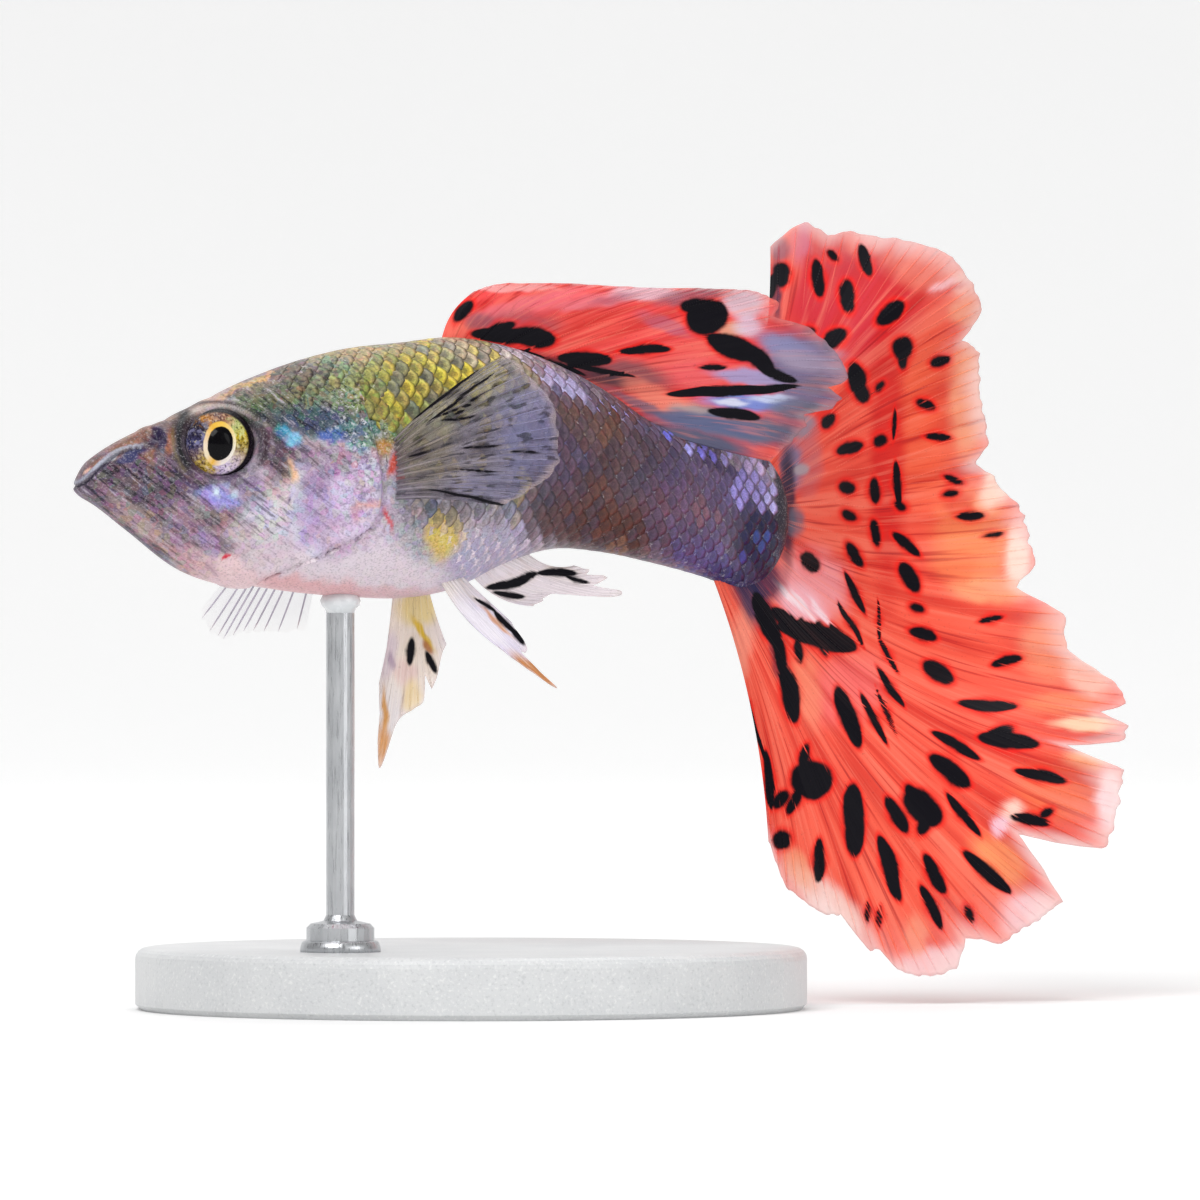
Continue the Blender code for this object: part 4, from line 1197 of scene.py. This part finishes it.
# Black spots of the tail: middle, length, width and tilt in degrees, rising to the right
TAIL_SPOTS = (
    (781, 275, 24, 15, 90),
    (771, 287, 34, 9, 66),
    (817.6, 279, 40, 13, 93),
    (847, 296, 32, 15, 92),
    (864.7, 260, 34, 12, -72),
    (832, 256, 14, 6, -50),
    (889, 313, 34, 17, 40),
    (834.5, 340, 28, 17, 42),
    (808, 332, 14, 8, 0),
    (902.5, 349, 24, 21, 60),
    (902, 358, 22, 10, 85),
    (940, 361.5, 21, 10, 15),
    (855, 378, 30, 18, -82),
    (861, 393, 20, 14, -60),
    (879, 387, 11, 8, 60),
    (925, 405.5, 20, 9, -24),
    (811, 405.5, 15, 11, 0),
    (827, 421, 17, 12, 55),
    (893, 424, 32, 4, 86),
    (937.5, 438, 28, 7, -3),
    (848.5, 448, 27, 12, 16),
    (878.5, 440.5, 14, 12, 40),
    (896.5, 484, 46, 7, -86),
    (899, 505, 14, 8, -30),
    (846, 487, 18, 12, -15),
    (873.7, 490.7, 26, 10, -86),
    (849, 514.6, 18, 10, -30),
    (874.7, 533.7, 26, 9, -78),
    (953, 479, 20, 7, -20),
    (950, 494, 16, 7, 10),
    (970.5, 516.5, 29, 9, 6),
    (993.5, 535.3, 22, 4, 12),
    (906.3, 545, 36, 10, -38),
    (808.5, 562.5, 24, 15, -45),
    (853.7, 555, 30, 10, -58),
    (908, 578, 34, 15, -62),
    (917, 609, 14, 8, -20),
    (853.7, 593, 46, 7, -65),
    (922.5, 635, 30, 11, -16),
    (991.4, 620, 25, 5, 12),
    (850, 624, 54, 5, -60),
    (878.5, 620, 46, 2.5, -87),
    (888, 655, 42, 4, -64),
    (937.8, 672.4, 36, 18, -32),
    (1006.7, 662, 31, 9, 11),
    (987.5, 705.8, 62, 11, -3),
    (790, 695, 60, 18, -80),
    (847.5, 718, 66, 16, -71),
    (889, 687, 50, 7, -57),
    (873, 719, 60, 7, -62),
    (886, 712, 54, 3, -66),
    (955.3, 746.3, 56, 10, -28),
    (1008.6, 741, 62, 15, -6),
    (1000, 734, 30, 12, 24),
    (950, 772, 50, 18, -36),
    (957, 779, 24, 16, -20),
    (1041, 776, 54, 11, -14),
    (812, 780, 40, 38, 0),
    (804, 757, 26, 9, 80),
    (794, 803, 30, 9, 62),
    (769, 780, 60, 9, -84),
    (781, 800, 22, 12, 50),
    (748, 705, 180, 4, -72),
    (759, 824, 14, 5, 10),
    (781.5, 840, 20, 17, 60),
    (853, 820.5, 74, 21, -88),
    (819, 861, 44, 11, 88),
    (922, 808, 46, 28, -42),
    (912, 797, 26, 12, -60),
    (924, 824, 24, 12, 70),
    (897, 815, 42, 13, -62),
    (962.4, 815, 56, 9, -52),
    (889.4, 868, 68, 15, -73),
    (934.3, 874, 44, 12, -62),
    (932, 907, 48, 11, -64),
    (987.6, 872.6, 64, 13, -42),
    (1030, 821, 40, 12, -10),
    (1046, 813, 16, 8, 30),
    (816, 637, 82, 24, -16),
    (786, 622, 40, 14, -40),
    (800, 630, 24, 9, 90),
    (818, 633, 24, 9, 90),
    (836, 638, 30, 9, -70),
    (798, 652, 22, 8, -75),
    (822, 648, 18, 8, -75),
    (766, 622, 64, 17, -66),
    (779, 655, 44, 12, -76),
    (868, 913, 4, 22, 0),
    (880, 918, 4, 24, -8),
    (969.5, 914.5, 20, 8, -70),
)
DORSAL_BASE = 0xEE5050
DORSAL_MARKS = (
    (810, 372, 62, 46, -10, 0x7A6E8E, 1.0, 0.0),
    (735, 426, 90, 17, -10, 0x666880, 1.0, 0.0),
    (690, 438, 70, 9, -14, 0x585870, 1.0, 0.0),
    (450, 330, 30, 24, 0, 0xF0685A, 0.9, 0.2),
    (580, 330, 60, 20, 0, 0xF0524A, 0.9, 0.3),
    (530, 303, 60, 8, 14, 0xE8727E, 0.8, 0.1),
    (600, 300, 60, 7, 10, 0xEA7E8A, 0.8, 0.1),
    (500, 288, 60, 4, 0, 0xF4B0B0, 0.7, 0.0),
    (645, 293, 36, 8, 0, 0xE8BCC8, 0.9, 0.0),
    (615, 298, 26, 4, 10, 0xA8586C, 0.5, 0.0),
    (690, 296, 40, 8, 10, 0x8A5868, 0.8, 0.0),
    (665, 325, 30, 8, -20, 0xB06880, 0.7, 0.1),
    (478, 322, 14, 10, 0, 0x7E5664, 0.7, 0.0),
    (520, 325, 40, 14, 0, 0x8A5060, 0.6, 0.1),
    (630, 374, 44, 14, -12, 0x6E5058, 0.8, 0.0),
    (585, 372, 60, 10, -16, 0x3E3440, 0.9, 0.0),
    (660, 398, 40, 12, -24, 0xF08470, 0.9, 0.1),
    (712, 378, 50, 20, -10, 0xEE6468, 0.8, 0.1),
    (742, 304, 24, 15, 0, 0xD8B8C4, 0.95, 0.0),
    (730, 330, 14, 9, 0, 0xDCAE90, 0.8, 0.0),
    (748, 326, 14, 12, 0, 0xD8C8DC, 0.8, 0.0),
    (788, 348, 32, 12, -20, 0x8C8AB2, 0.95, 0.0),
    (806, 362, 34, 9, -12, 0xA090A8, 0.9, 0.0),
    (748, 377, 40, 8, -8, 0xA89CC8, 0.95, 0.0),
    (748, 402, 50, 9, -4, 0x7A88CC, 1.0, 0.0),
    (770, 398, 22, 4, 0, 0xC8D0EC, 0.9, 0.0),
    (730, 402, 18, 3, -4, 0xE0E0F0, 0.8, 0.0),
    (800, 410, 34, 12, -4, 0x6E7084, 0.9, 0.0),
    (690, 412, 26, 8, -6, 0xA89898, 0.9, 0.0),
    (640, 404, 40, 5, -24, 0x6E6478, 0.8, 0.0),
    (710, 424, 60, 9, -10, 0x5E6486, 0.95, 0.0),
    (820, 385, 24, 10, 0, 0x8A7A90, 0.9, 0.0),
)
DORSAL_SPOTS = (
    (463, 312.5, 27, 11, 50),
    (508, 335, 76, 16, 0),
    (532, 336, 46, 20, -8),
    (500, 328, 30, 10, 20),
    (551, 362, 76, 6, -20),
    (584, 358, 54, 14, -4),
    (600, 370, 70, 5, -12),
    (644, 349.5, 52, 9, 4),
    (707, 317, 42, 34, 20),
    (694, 306, 28, 14, 0),
    (733, 347, 56, 22, -20),
    (757, 358, 40, 17, -42),
    (776, 374, 44, 10, -20),
    (712, 367, 27, 6, 3),
    (728, 391, 124, 11, 2),
    (770, 388, 60, 7, 4),
    (733, 414, 52, 11, -6),
)
PALE_MARKS = (
    (420, 640, 60, 60, 0, 0xFBECE0, 1.0, 0.04),
    (418, 608, 22, 18, 0, 0xF8E29C, 0.9, 0.03),
    (388, 655, 9, 26, -10, 0xE8D6DE, 0.9, 0.03),
    (391, 660, 3, 10, 10, 0xB49AB0, 0.8, 0.0),
    (405, 672, 12, 14, 0, 0xF4D2CC, 0.8, 0.03),
    (412, 698, 10, 18, 0, 0xF8DDA8, 0.9, 0.03),
    (423, 634, 22, 3.5, -57, 0xE8C02C, 0.95, 0.0),
    (427, 648, 9, 4, -60, 0xB86C20, 0.9, 0.0),
    (385, 710, 3, 22, 4, 0xE09A34, 0.9, 0.0),
    (380, 748, 12, 26, 0, 0xE8A04C, 0.9, 0.0),
    (500, 640, 60, 50, -40, 0xE8E0F4, 1.0, 0.04),
    (480, 622, 34, 8, -40, 0xFAF4FC, 0.8, 0.0),
    (497, 623, 22, 2.5, -42, 0xDC9C74, 0.9, 0.0),
    (538, 674, 34, 7, -36, 0xC8803C, 0.95, 0.0),
    (550, 585, 80, 24, 0, 0xFCF0F6, 1.0, 0.03),
)
PALE_SPOTS = (
    (410, 651, 27, 8, 84),
    (431, 662, 25, 7, -66),
    (486, 605, 28, 3.5, -30),
    (505, 622, 32, 6, -48),
    (518, 637, 20, 7, -52),
    (508, 583, 44, 9, 12),
    (526, 577, 22, 7, 20),
    (556, 573, 40, 8, 2),
    (508, 594, 30, 6, -8),
    (576, 579, 26, 4, -16),
)
VEIL_MARKS = (
    (470, 440, 90, 90, 0, 0x8E8692, 1.0, 0.3),
    (425, 440, 32, 50, 0, 0x8A7E64, 0.8, 0.3),
    (462, 396, 56, 22, 38, 0x9C9682, 0.8, 0.3),
    (530, 435, 36, 60, 0, 0x807EA6, 0.9, 0.2),
    (500, 490, 50, 18, -6, 0x8884A6, 0.7, 0.2),
)
VEIL_SPOTS = (
    (450, 391, 96, 2.5, 38),
    (462, 396, 84, 2, 37),
    (474, 400, 60, 2, 36),
    (452, 410, 40, 1.5, 24),
    (458, 418, 34, 2, 8),
    (420, 454, 24, 2, 10),
    (480, 447, 40, 2, 4),
    (524, 453, 30, 2, 0),
    (480, 470, 60, 1, -4),
    (450, 494, 50, 2, -10),
    (486, 500, 50, 3, -12),
)
HALO = 8.0


def from_spots(spots, px, py):
    """Pixels to the edge of the nearest spot, negative inside it"""
    nearest = 2 * HALO
    for x, y, length, width, tilt in spots:
        away, down = px - x, py - y
        if abs(away) + abs(down) > length + width + 2 * HALO:
            continue
        turn = math.radians(tilt)
        along = (away * math.cos(turn) - down * math.sin(turn)) / (length / 2)
        across = (away * math.sin(turn) + down * math.cos(turn)) / (width / 2)
        share = math.hypot(along, across)
        if share < 0.05:
            nearest = min(nearest, -width / 2)
        else:
            nearest = min(nearest, math.hypot(away, down) * (1 - 1 / share))
    return nearest


class Fan:
    """The sheet of a fin, whose rays run from its root to its margin"""

    def __init__(self, rays, root, notches=(), ripple=0.0, tips=0, fringe=0.0):
        self.table = [(share, *middle, *tip) for share, middle, tip in rays]
        self.root = root
        self.notches = notches
        self.ripple = ripple
        self.tips = tips
        self.fringe = fringe
        self.known = {}

    def ray(self, across):
        """Root, middle, tip, the middle's share of the length and the share kept"""
        across = round(min(max(across, 0), 1), 5)
        if across not in self.known:
            start = self.root(across)
            values = smooth(self.table, across)
            middle, tip = Vector(values[:3]), Vector(values[3:])
            length = (middle - start).length + (tip - middle).length
            kept = 1 - sum(
                depth / length * max(1 - abs(across - place) / half, 0)
                for place, half, depth in self.notches
            )
            scallop = noise.noise(Vector((across * self.tips, 0.3, 0.0)))
            kept -= self.fringe / length * (0.4 + scallop)
            self.known[across] = (start, middle, tip, (middle - start).length / length, kept)
        return self.known[across]

    def place(self, across, along):
        start, middle, tip, turn, kept = self.ray(across)
        s = along * kept
        point = (
            start * ((s - turn) * (s - 1) / turn)
            + middle * (s * (s - 1) / (turn * (turn - 1)))
            + tip * (s * (s - turn) / (1 - turn))
        )
        wave = along * along * math.sin(2 * math.pi * (6.5 * across + 0.2))
        return point + Vector((0.35, 1, 0)).normalized() * (self.ripple * wave)


def tail_root(share):
    """Along the rounded end of the tail stalk, a little inside it"""
    low, high = TAIL_ROOT_ANGLES
    angle = math.radians(low + (high - low) * share)
    reach = STALK_END + (STALK_ROUND - 0.4) * math.cos(angle)
    level = STALK_LEVEL + (STALK_HALF_HEIGHT - 0.4) * math.sin(angle)
    return in_body(reach, 0, level)


def row_on_body(reaches, degrees, sunk=0.3):
    """A root that runs along the body at one angle round it, a little inside it"""

    def root(share):
        reach = reaches[0] + (reaches[1] - reaches[0]) * share
        return section(reach, degrees) - outward(reach, degrees) * sunk

    return root


def pectoral_root(side):
    """A root that runs down the flank just behind the gill cover"""

    def root(share):
        first, last = PECTORAL_ANGLES
        degrees = first + (last - first) * share
        if side < 0:
            degrees = 180 - degrees
        return section(PECTORAL_REACH, degrees) - outward(PECTORAL_REACH, degrees) * 0.15

    return root


def fin_layers(bm):
    return (
        bm.verts.layers.float_color.new("marking"),
        bm.verts.layers.float.new("spot"),
        bm.verts.layers.float.new("outer"),
        bm.loops.layers.uv.new("fan"),
    )


def paint_fin(vertex, layers, fan, looks, across, along):
    """A fin's colour, its spots and its place in the fan at a vertex"""
    marking, spot, outer, place = layers
    base, marks, spots = looks
    px, py = seen(fan.place(across, along))
    vertex[marking] = blend_patches(marks, *rough(px, py, 12, 3), linear(base), fleck=0.3)
    vertex[spot] = from_spots(spots, *rough(px, py, 30, 2.5))
    vertex[outer] = along
    for loop in vertex.link_loops:
        loop[place].uv = (across, along)


def make_membrane(name, fan, looks, finish, node, columns, rows, thickness):
    """The thin skin of a fin between its rays"""
    bm = bmesh.new()
    layers = fin_layers(bm)
    bmesh.ops.create_grid(bm, x_segments=columns, y_segments=rows, size=1)
    weights = []
    for vertex in bm.verts:
        across, along = (vertex.co.x + 1) / 2, (vertex.co.y + 1) / 2
        vertex.co = fan.place(across, along) * MM
        paint_fin(vertex, layers, fan, looks, across, along)
        weights.append(1 - 0.65 * ease(0.55, 1.0, along))
    piece = mesh_piece(name, bm, finish, (node,))
    group = piece.vertex_groups.new(name="thickness")
    for index, weight in enumerate(weights):
        group.add([index], weight, "REPLACE")
    wall = piece.modifiers.new("wall", "SOLIDIFY")
    wall.thickness = thickness * MM
    wall.offset = 0
    wall.vertex_group = group.name
    return piece


def branch_place(base, width, signs, along):
    """How far across the fan a branch of a ray lies"""
    place = base
    for order, sign in enumerate(signs):
        start = 0.30 + 0.32 * order
        place += sign * width * 0.5 ** (order + 2) * ease(start, start + 0.26, along)
    return place


def shape_strand(vertices, layers, fan, looks, base, width, signs, span, radii, rings):
    """One branch of a ray, round and tapering, half sunk in the membrane"""
    for vertex in vertices:
        ring = in_ring(vertex, rings)
        share = ring / rings
        along = span[0] + (span[1] - span[0]) * share
        turn = math.atan2(vertex.co.y, vertex.co.x)
        across = branch_place(base, width, signs, along)
        centre = fan.place(across, along)
        ahead = fan.place(branch_place(base, width, signs, along + 0.01), along + 0.01) - centre
        beside = fan.place(across + 0.004, along) - fan.place(across - 0.004, along)
        face = ahead.cross(beside).normalized()
        level = face.cross(ahead).normalized()
        taper = math.sqrt(max(1 - (2 * share - 1) ** 8, 0))
        radius = (radii[0] + (radii[1] - radii[0]) * along) * taper
        if ring in (0, rings):
            radius = 0
        vertex.co = (
            centre + level * (math.cos(turn) * radius) + face * (math.sin(turn) * radius)
        ) * MM
        paint_fin(vertex, layers, fan, looks, across, along)


def make_rays(name, fan, looks, finish, node, count, radii, orders=2, rings=24):
    """The rays of a fin, which fork on their way to the margin"""
    width = 1 / count
    spans = {0: ((0.0, 1.0),), 1: ((0.0, 0.42), (0.40, 1.0)),
             2: ((0.0, 0.36), (0.34, 0.68), (0.66, 1.0))}[orders]
    plans = []
    for ray in range(count):
        forks = [()]
        for span in spans:
            steps = max(round(rings * (span[1] - span[0])) + 2, 5)
            plans += [((ray + 0.5) * width, signs, span, steps) for signs in forks]
            forks = [signs + (sign,) for signs in forks for sign in (-1, 1)]
    bm = bmesh.new()
    sizes = [(6, steps) for _, _, _, steps in plans]
    add_balls(bm, sizes)
    layers = fin_layers(bm)
    for vertices, (base, signs, span, steps) in zip(balls_of(bm, sizes), plans):
        shape_strand(vertices, layers, fan, looks, base, width, signs, span, radii, steps)
    bmesh.ops.recalc_face_normals(bm, faces=bm.faces)
    return mesh_piece(name, bm, finish, (node,))


def fin_finish(
    name, deep, pale, halo, alpha, edge_alpha, streaks, rays=False, dashes=0.0, frill=0.6
):
    """A fin's skin or rays: streaks along the fan, spots and a clearer margin"""
    made = Finish(name, Roughness=0.45, Specular_IOR_Level=0.10)
    marking = made.attribute("marking", "Color")
    glow = made.attribute("marking", "Alpha") * 3.3
    spot = made.attribute("spot")
    outer = made.attribute("outer")
    fan = made.uv("fan")
    threads = fan.scaled((streaks, 2.2, 1.0)).noise(1.0, 2.0)
    broad = fan.scaled((streaks * 0.22, 1.4, 1.0)).noise(1.0, 2.0)
    grain = made.place.noise(2.6, 1.0)
    dust = made.place.noise(12.0, 2.0)
    colour = marking.mix(pale, broad.ease(0.50, 0.34) * glow * 0.32)
    colour = colour.mix(deep, broad.ease(0.46, 0.66) * glow * 0.65)
    colour = colour.mix(pale, threads.ease(0.52, 0.70) * 0.28)
    colour = colour.mix(deep, threads.ease(0.46, 0.32) * glow * 0.60)
    colour = colour.mix(0x2A1430, threads.ease(0.40, 0.26) * 0.26)
    colour = colour.mix(halo, spot.ease(HALO, 1.0) * glow * 0.80)
    colour = colour.mix(0x2A1430, dust.ease(0.62, 0.74) * 0.16)
    margin = outer + (broad - 0.5) * 0.16
    colour = colour.mix(0xF8E0DC, margin.ease(0.93, 1.03) * frill)
    if dashes:
        marks = fan.scaled((streaks * 0.6, 8.0, 1.0)).noise(1.0, 1.0)
        colour = colour.mix(0x12101A, marks.ease(0.58, 0.66) * dashes)
    if rays:
        colour = colour.mix(pale, glow * 0.14)
    wander = spot + (grain - 0.5) * 3.0 + (dust - 0.5) * 1.2
    colour = colour.mix(0x07050E, wander.ease(2.8, -1.6))
    if rays:
        joints = made.parts(fan)[1] * 520.0
        rings = joints.make("ShaderNodeMath", {0: joints}, operation="SINE")
        made.raise_by(rings * 0.5, 0.012)
        made.set(Base_Color=colour)
        return made.material
    solid = outer.ease(0.80, 1.0, alpha, edge_alpha) + wander.ease(1.5, -1.5) * 0.4
    if dashes:
        solid = solid * outer.ease(0.0, 0.16, 0.2, 1.0)
    made.set(Base_Color=colour, Alpha=solid)
    made.raise_by(threads * 0.6 + broad * 0.4, 0.05)
    return made.material


def base_finish():
    made = Finish("base_finish", Coat_Weight=0.15, Coat_Roughness=0.3)
    fine = made.place.noise(9.0, 3.0)
    cloud = made.place.noise(0.35, 3.0)
    colour = cloud.ramp(((0.0, 0xC4C6C8), (1.0, 0xDADBDB)))
    colour = colour.mix(0xA9ACAE, fine.ease(0.44, 0.30) * 0.35)
    colour = colour.mix(0xF4F4F2, fine.ease(0.56, 0.70) * 0.35)
    made.set(Base_Color=colour, Roughness=fine.ease(0.3, 0.7, 0.34, 0.52))
    made.raise_by(fine, 0.02)
    return made.material


def rod_finish():
    made = Finish("rod_finish", Metallic=1.0)
    brushed = made.place.scaled((1.0, 1.0, 0.06)).noise(14.0, 2.0)
    cloud = made.place.noise(0.8, 2.0)
    colour = cloud.ramp(((0.0, 0xB4B6BA), (1.0, 0xD6D8DA)))
    colour = colour.mix(0x8E9094, brushed.ease(0.46, 0.32) * 0.4)
    made.set(Base_Color=colour, Roughness=brushed.ease(0.3, 0.7, 0.24, 0.42))
    made.raise_by(brushed, 0.006)
    return made.material


def pad_finish():
    made = Finish("pad_finish", Coat_Weight=0.6, Coat_Roughness=0.1)
    cloud = made.place.noise(3.0, 2.0)
    colour = cloud.ramp(((0.0, 0xCFD3D6), (1.0, 0xE6E9EB)))
    made.set(Base_Color=colour, Roughness=cloud.ease(0.3, 0.7, 0.18, 0.3))
    made.raise_by(cloud, 0.01)
    return made.material


def round_piece(name, profile, finish, node_middle=(0.0, 0.0)):
    """A round piece of the stand, its profile spun about an upright axis"""
    bm = bmesh.new()
    line = [bm.verts.new((radius * MM, 0, level * MM)) for radius, level in profile]
    edges = [bm.edges.new(pair) for pair in zip(line, line[1:])]
    bmesh.ops.spin(
        bm,
        geom=line + edges,
        cent=(0, 0, 0),
        axis=(0, 0, 1),
        angle=2 * math.pi,
        steps=48,
        use_merge=True,
    )
    bmesh.ops.remove_doubles(bm, verts=bm.verts, dist=1e-7)
    bmesh.ops.recalc_face_normals(bm, faces=bm.faces)
    shift = Vector((node_middle[0], node_middle[1], 0)) * MM
    bmesh.ops.translate(bm, vec=shift, verts=bm.verts)
    return mesh_piece(name, bm, finish)


def dress_stand():
    low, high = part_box("stand_rod")
    top = high[2] / MM
    middle = ((low[0] + high[0]) / 2 / MM, (low[1] + high[1]) / 2 / MM)
    for node, finish in (("stand_base", base_finish()), ("stand_rod", rod_finish())):
        for material_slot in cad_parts[node].material_slots:
            material_slot.material = finish
    pad = ((0.0, top + 0.55), (0.35, top + 0.52), (0.62, top + 0.36), (0.72, top + 0.16),
           (0.68, top - 0.02), (0.56, top - 0.12), (0.49, top - 0.3), (0.0, top - 0.3))
    round_piece("belly_pad", pad, pad_finish(), middle)
    foot = low[2] / MM
    ring = ((0.9, foot + 0.1), (1.28, foot + 0.1), (1.36, foot + 0.04), (1.42, foot - 0.14),
            (1.42, foot - 0.31), (0.9, foot - 0.31))
    round_piece("foot_ring", (*ring, ring[0]), rod_finish(), middle)


def make_fish():
    make_skin(flesh_finish("skin_finish"))
    make_scales(flesh_finish("scale_finish", plates=True))
    iris = iris_finish()
    make_eye(1, "left", iris)
    make_eye(-1, "right", iris)

    red, salmon, halo = 0xC8201C, 0xFA8E76, 0xEE1C14
    looks = (TAIL_BASE, TAIL_MARKS, TAIL_SPOTS)
    fan = Fan(TAIL_RAYS, tail_root, TAIL_NOTCHES, ripple=0.3, tips=150, fringe=0.14)
    skin = fin_finish("tail_finish", red, salmon, halo, 0.97, 0.62, 150.0)
    rays = fin_finish("tail_ray_finish", red, salmon, halo, 1.0, 1.0, 150.0, rays=True)
    make_membrane("tail_membrane", fan, looks, skin, "tail_fin", 400, 110, 0.10)
    make_rays("tail_rays", fan, looks, rays, "tail_fin", 22, (0.085, 0.035))

    looks = (DORSAL_BASE, DORSAL_MARKS, DORSAL_SPOTS)
    fan = Fan(DORSAL_RAYS, row_on_body(DORSAL_ROOT, 90), DORSAL_NOTCHES, 0.12, 70, 0.12)
    skin = fin_finish("dorsal_finish", red, salmon, halo, 0.97, 0.55, 70.0, frill=0.2)
    rays = fin_finish("dorsal_ray_finish", red, salmon, halo, 1.0, 1.0, 70.0, True, frill=0.2)
    make_membrane("dorsal_membrane", fan, looks, skin, "dorsal_fin", 180, 80, 0.10)
    make_rays("dorsal_rays", fan, looks, rays, "dorsal_fin", 10, (0.085, 0.04))

    brown, cream, tan = 0xC8A898, 0xFFFAF4, 0xE8C890
    looks = (0xF4ECEE, PALE_MARKS, PALE_SPOTS)
    skin = fin_finish("pale_finish", brown, cream, tan, 0.86, 0.55, 34.0)
    rays = fin_finish("pale_ray_finish", brown, cream, tan, 1.0, 1.0, 34.0, rays=True)
    pale_fins = (
        ("anal", "anal_fin", ANAL_RAYS, row_on_body(ANAL_REACH, -90), 9,
         ((0.34, 0.09, 0.8), (0.66, 0.07, 1.0), (0.84, 0.06, 0.5))),
        ("pelvic_left", "pelvic_fin_left", LEFT_PELVIC_RAYS,
         row_on_body(LEFT_PELVIC_REACH, PELVIC_ANGLE), 6, ((0.66, 0.05, 0.3),)),
        ("pelvic_right", "pelvic_fin_right", RIGHT_PELVIC_RAYS,
         row_on_body(RIGHT_PELVIC_REACH, 180 - PELVIC_ANGLE), 6,
         ((0.10, 0.05, 0.4), (0.74, 0.05, 0.8))),
    )
    for name, node, table, root, count, notches in pale_fins:
        fan = Fan(table, root, notches, tips=count * 2, fringe=0.15)
        make_membrane(f"{name}_membrane", fan, looks, skin, node, 72, 48, 0.08)
        make_rays(f"{name}_rays", fan, looks, rays, node, count, (0.07, 0.03), 1)

    near = (0x3A3440, 0xA8A0AE, 0x4A424C)
    far = (0xA8A2B0, 0xE4DEEA, 0xB0AAB8)
    looks = (0x847A84, VEIL_MARKS, VEIL_SPOTS)
    pale_looks = (0xC4BECC, (), ())
    veils = (
        ("left", 1, LEFT_PECTORAL_RAYS, looks, near, 13, (0.045, 0.02), 0.50, 0.34, 0.75),
        ("right", -1, RIGHT_PECTORAL_RAYS, pale_looks, far, 5, (0.05, 0.03), 0.10, 0.05, 0.0),
    )
    for word, side, table, looks, tones, count, radii, alpha, edge_alpha, dashes in veils:
        node = f"pectoral_fin_{word}"
        name = f"pectoral_{word}"
        fan = Fan(table, pectoral_root(side), tips=26, fringe=0.15)
        skin = fin_finish(f"{name}_finish", *tones, alpha, edge_alpha, 60.0, dashes=dashes)
        rays = fin_finish(f"{name}_ray_finish", *tones, 1.0, 1.0, 60.0, True, dashes)
        make_membrane(f"{name}_membrane", fan, looks, skin, node, 78, 48, 0.06)
        make_rays(f"{name}_rays", fan, looks, rays, node, count, radii, 1)


def make_floor():
    """A pale floor that curves up into a backdrop"""
    bm = bmesh.new()
    bmesh.ops.create_grid(bm, x_segments=8, y_segments=60, size=1)
    for vertex in bm.verts:
        along = (vertex.co.y + 1) / 2
        run, bend = 1.1, 0.35
        turn = min(max((along - 0.45) / 0.3, 0), 1) * math.pi / 2
        y = -0.6 + run * min(along / 0.45, 1) + bend * math.sin(turn)
        z = bend * (1 - math.cos(turn)) + 2.0 * max(along - 0.75, 0) / 0.25
        vertex.co = (vertex.co.x * 1.6, y, z)
    mesh = bpy.data.meshes.new("floor")
    bm.to_mesh(mesh)
    bm.free()
    mesh.shade_smooth()
    made = Finish("floor_finish", Specular_IOR_Level=0.2, Emission_Strength=0.36)
    cloud = made.place.noise(0.01, 2.0)
    distance = made.parts(made.place)[1].ease(20.0, 420.0)
    made.set(
        Base_Color=cloud.ramp(((0.0, 0xE6E6E6), (1.0, 0xECECEC))),
        Emission_Color=distance.ramp(((0.0, 0x6E6E6E), (1.0, 0xFFFFFF))),
        Roughness=cloud.ease(0.3, 0.7, 0.7, 0.85),
    )
    mesh.materials.append(made.material)
    floor = bpy.data.objects.new("floor", mesh)
    bpy.context.scene.collection.objects.link(floor)


def aimed(holder, place, target):
    holder.location = place
    holder.rotation_euler = (Vector(target) - Vector(place)).to_track_quat("-Z", "Y").to_euler()
    bpy.context.scene.collection.objects.link(holder)
    return holder


def soft_box(name, place, size, power, colour=(1, 1, 1)):
    light = bpy.data.lights.new(name, "AREA")
    light.shape = "DISK"
    light.size = size
    light.energy = power
    light.color = colour
    return aimed(bpy.data.objects.new(name, light), place, (0.004, 0, 0.015))


def make_studio():
    make_floor()
    world = bpy.data.worlds.new("studio")
    bpy.context.scene.world = world
    world.use_nodes = True
    back = world.node_tree.nodes["Background"]
    back.inputs["Color"].default_value = (1, 1, 1, 1)
    back.inputs["Strength"].default_value = 0.38
    soft_box("key_light", (-0.16, -0.34, 0.36), 0.30, 1.45)
    soft_box("fill_light", (0.32, -0.30, 0.16), 0.30, 0.45)
    soft_box("top_light", (0.02, 0.10, 0.45), 0.40, 1.0)
    camera = bpy.data.cameras.new("camera")
    camera.sensor_width = 36
    camera.sensor_fit = "HORIZONTAL"
    camera.lens = 36 * CAMERA_DISTANCE * PIXELS_PER_MM / PHOTO_SIZE
    camera.clip_start = 0.01
    camera.clip_end = 20
    place = (CAMERA_X * MM, -CAMERA_DISTANCE * MM, CAMERA_Z * MM)
    target = (CAMERA_X * MM, 0, CAMERA_Z * MM)
    bpy.context.scene.camera = aimed(bpy.data.objects.new("camera", camera), place, target)
    bpy.context.scene.view_settings.view_transform = "Standard"


make_fish()
dress_stand()
make_studio()
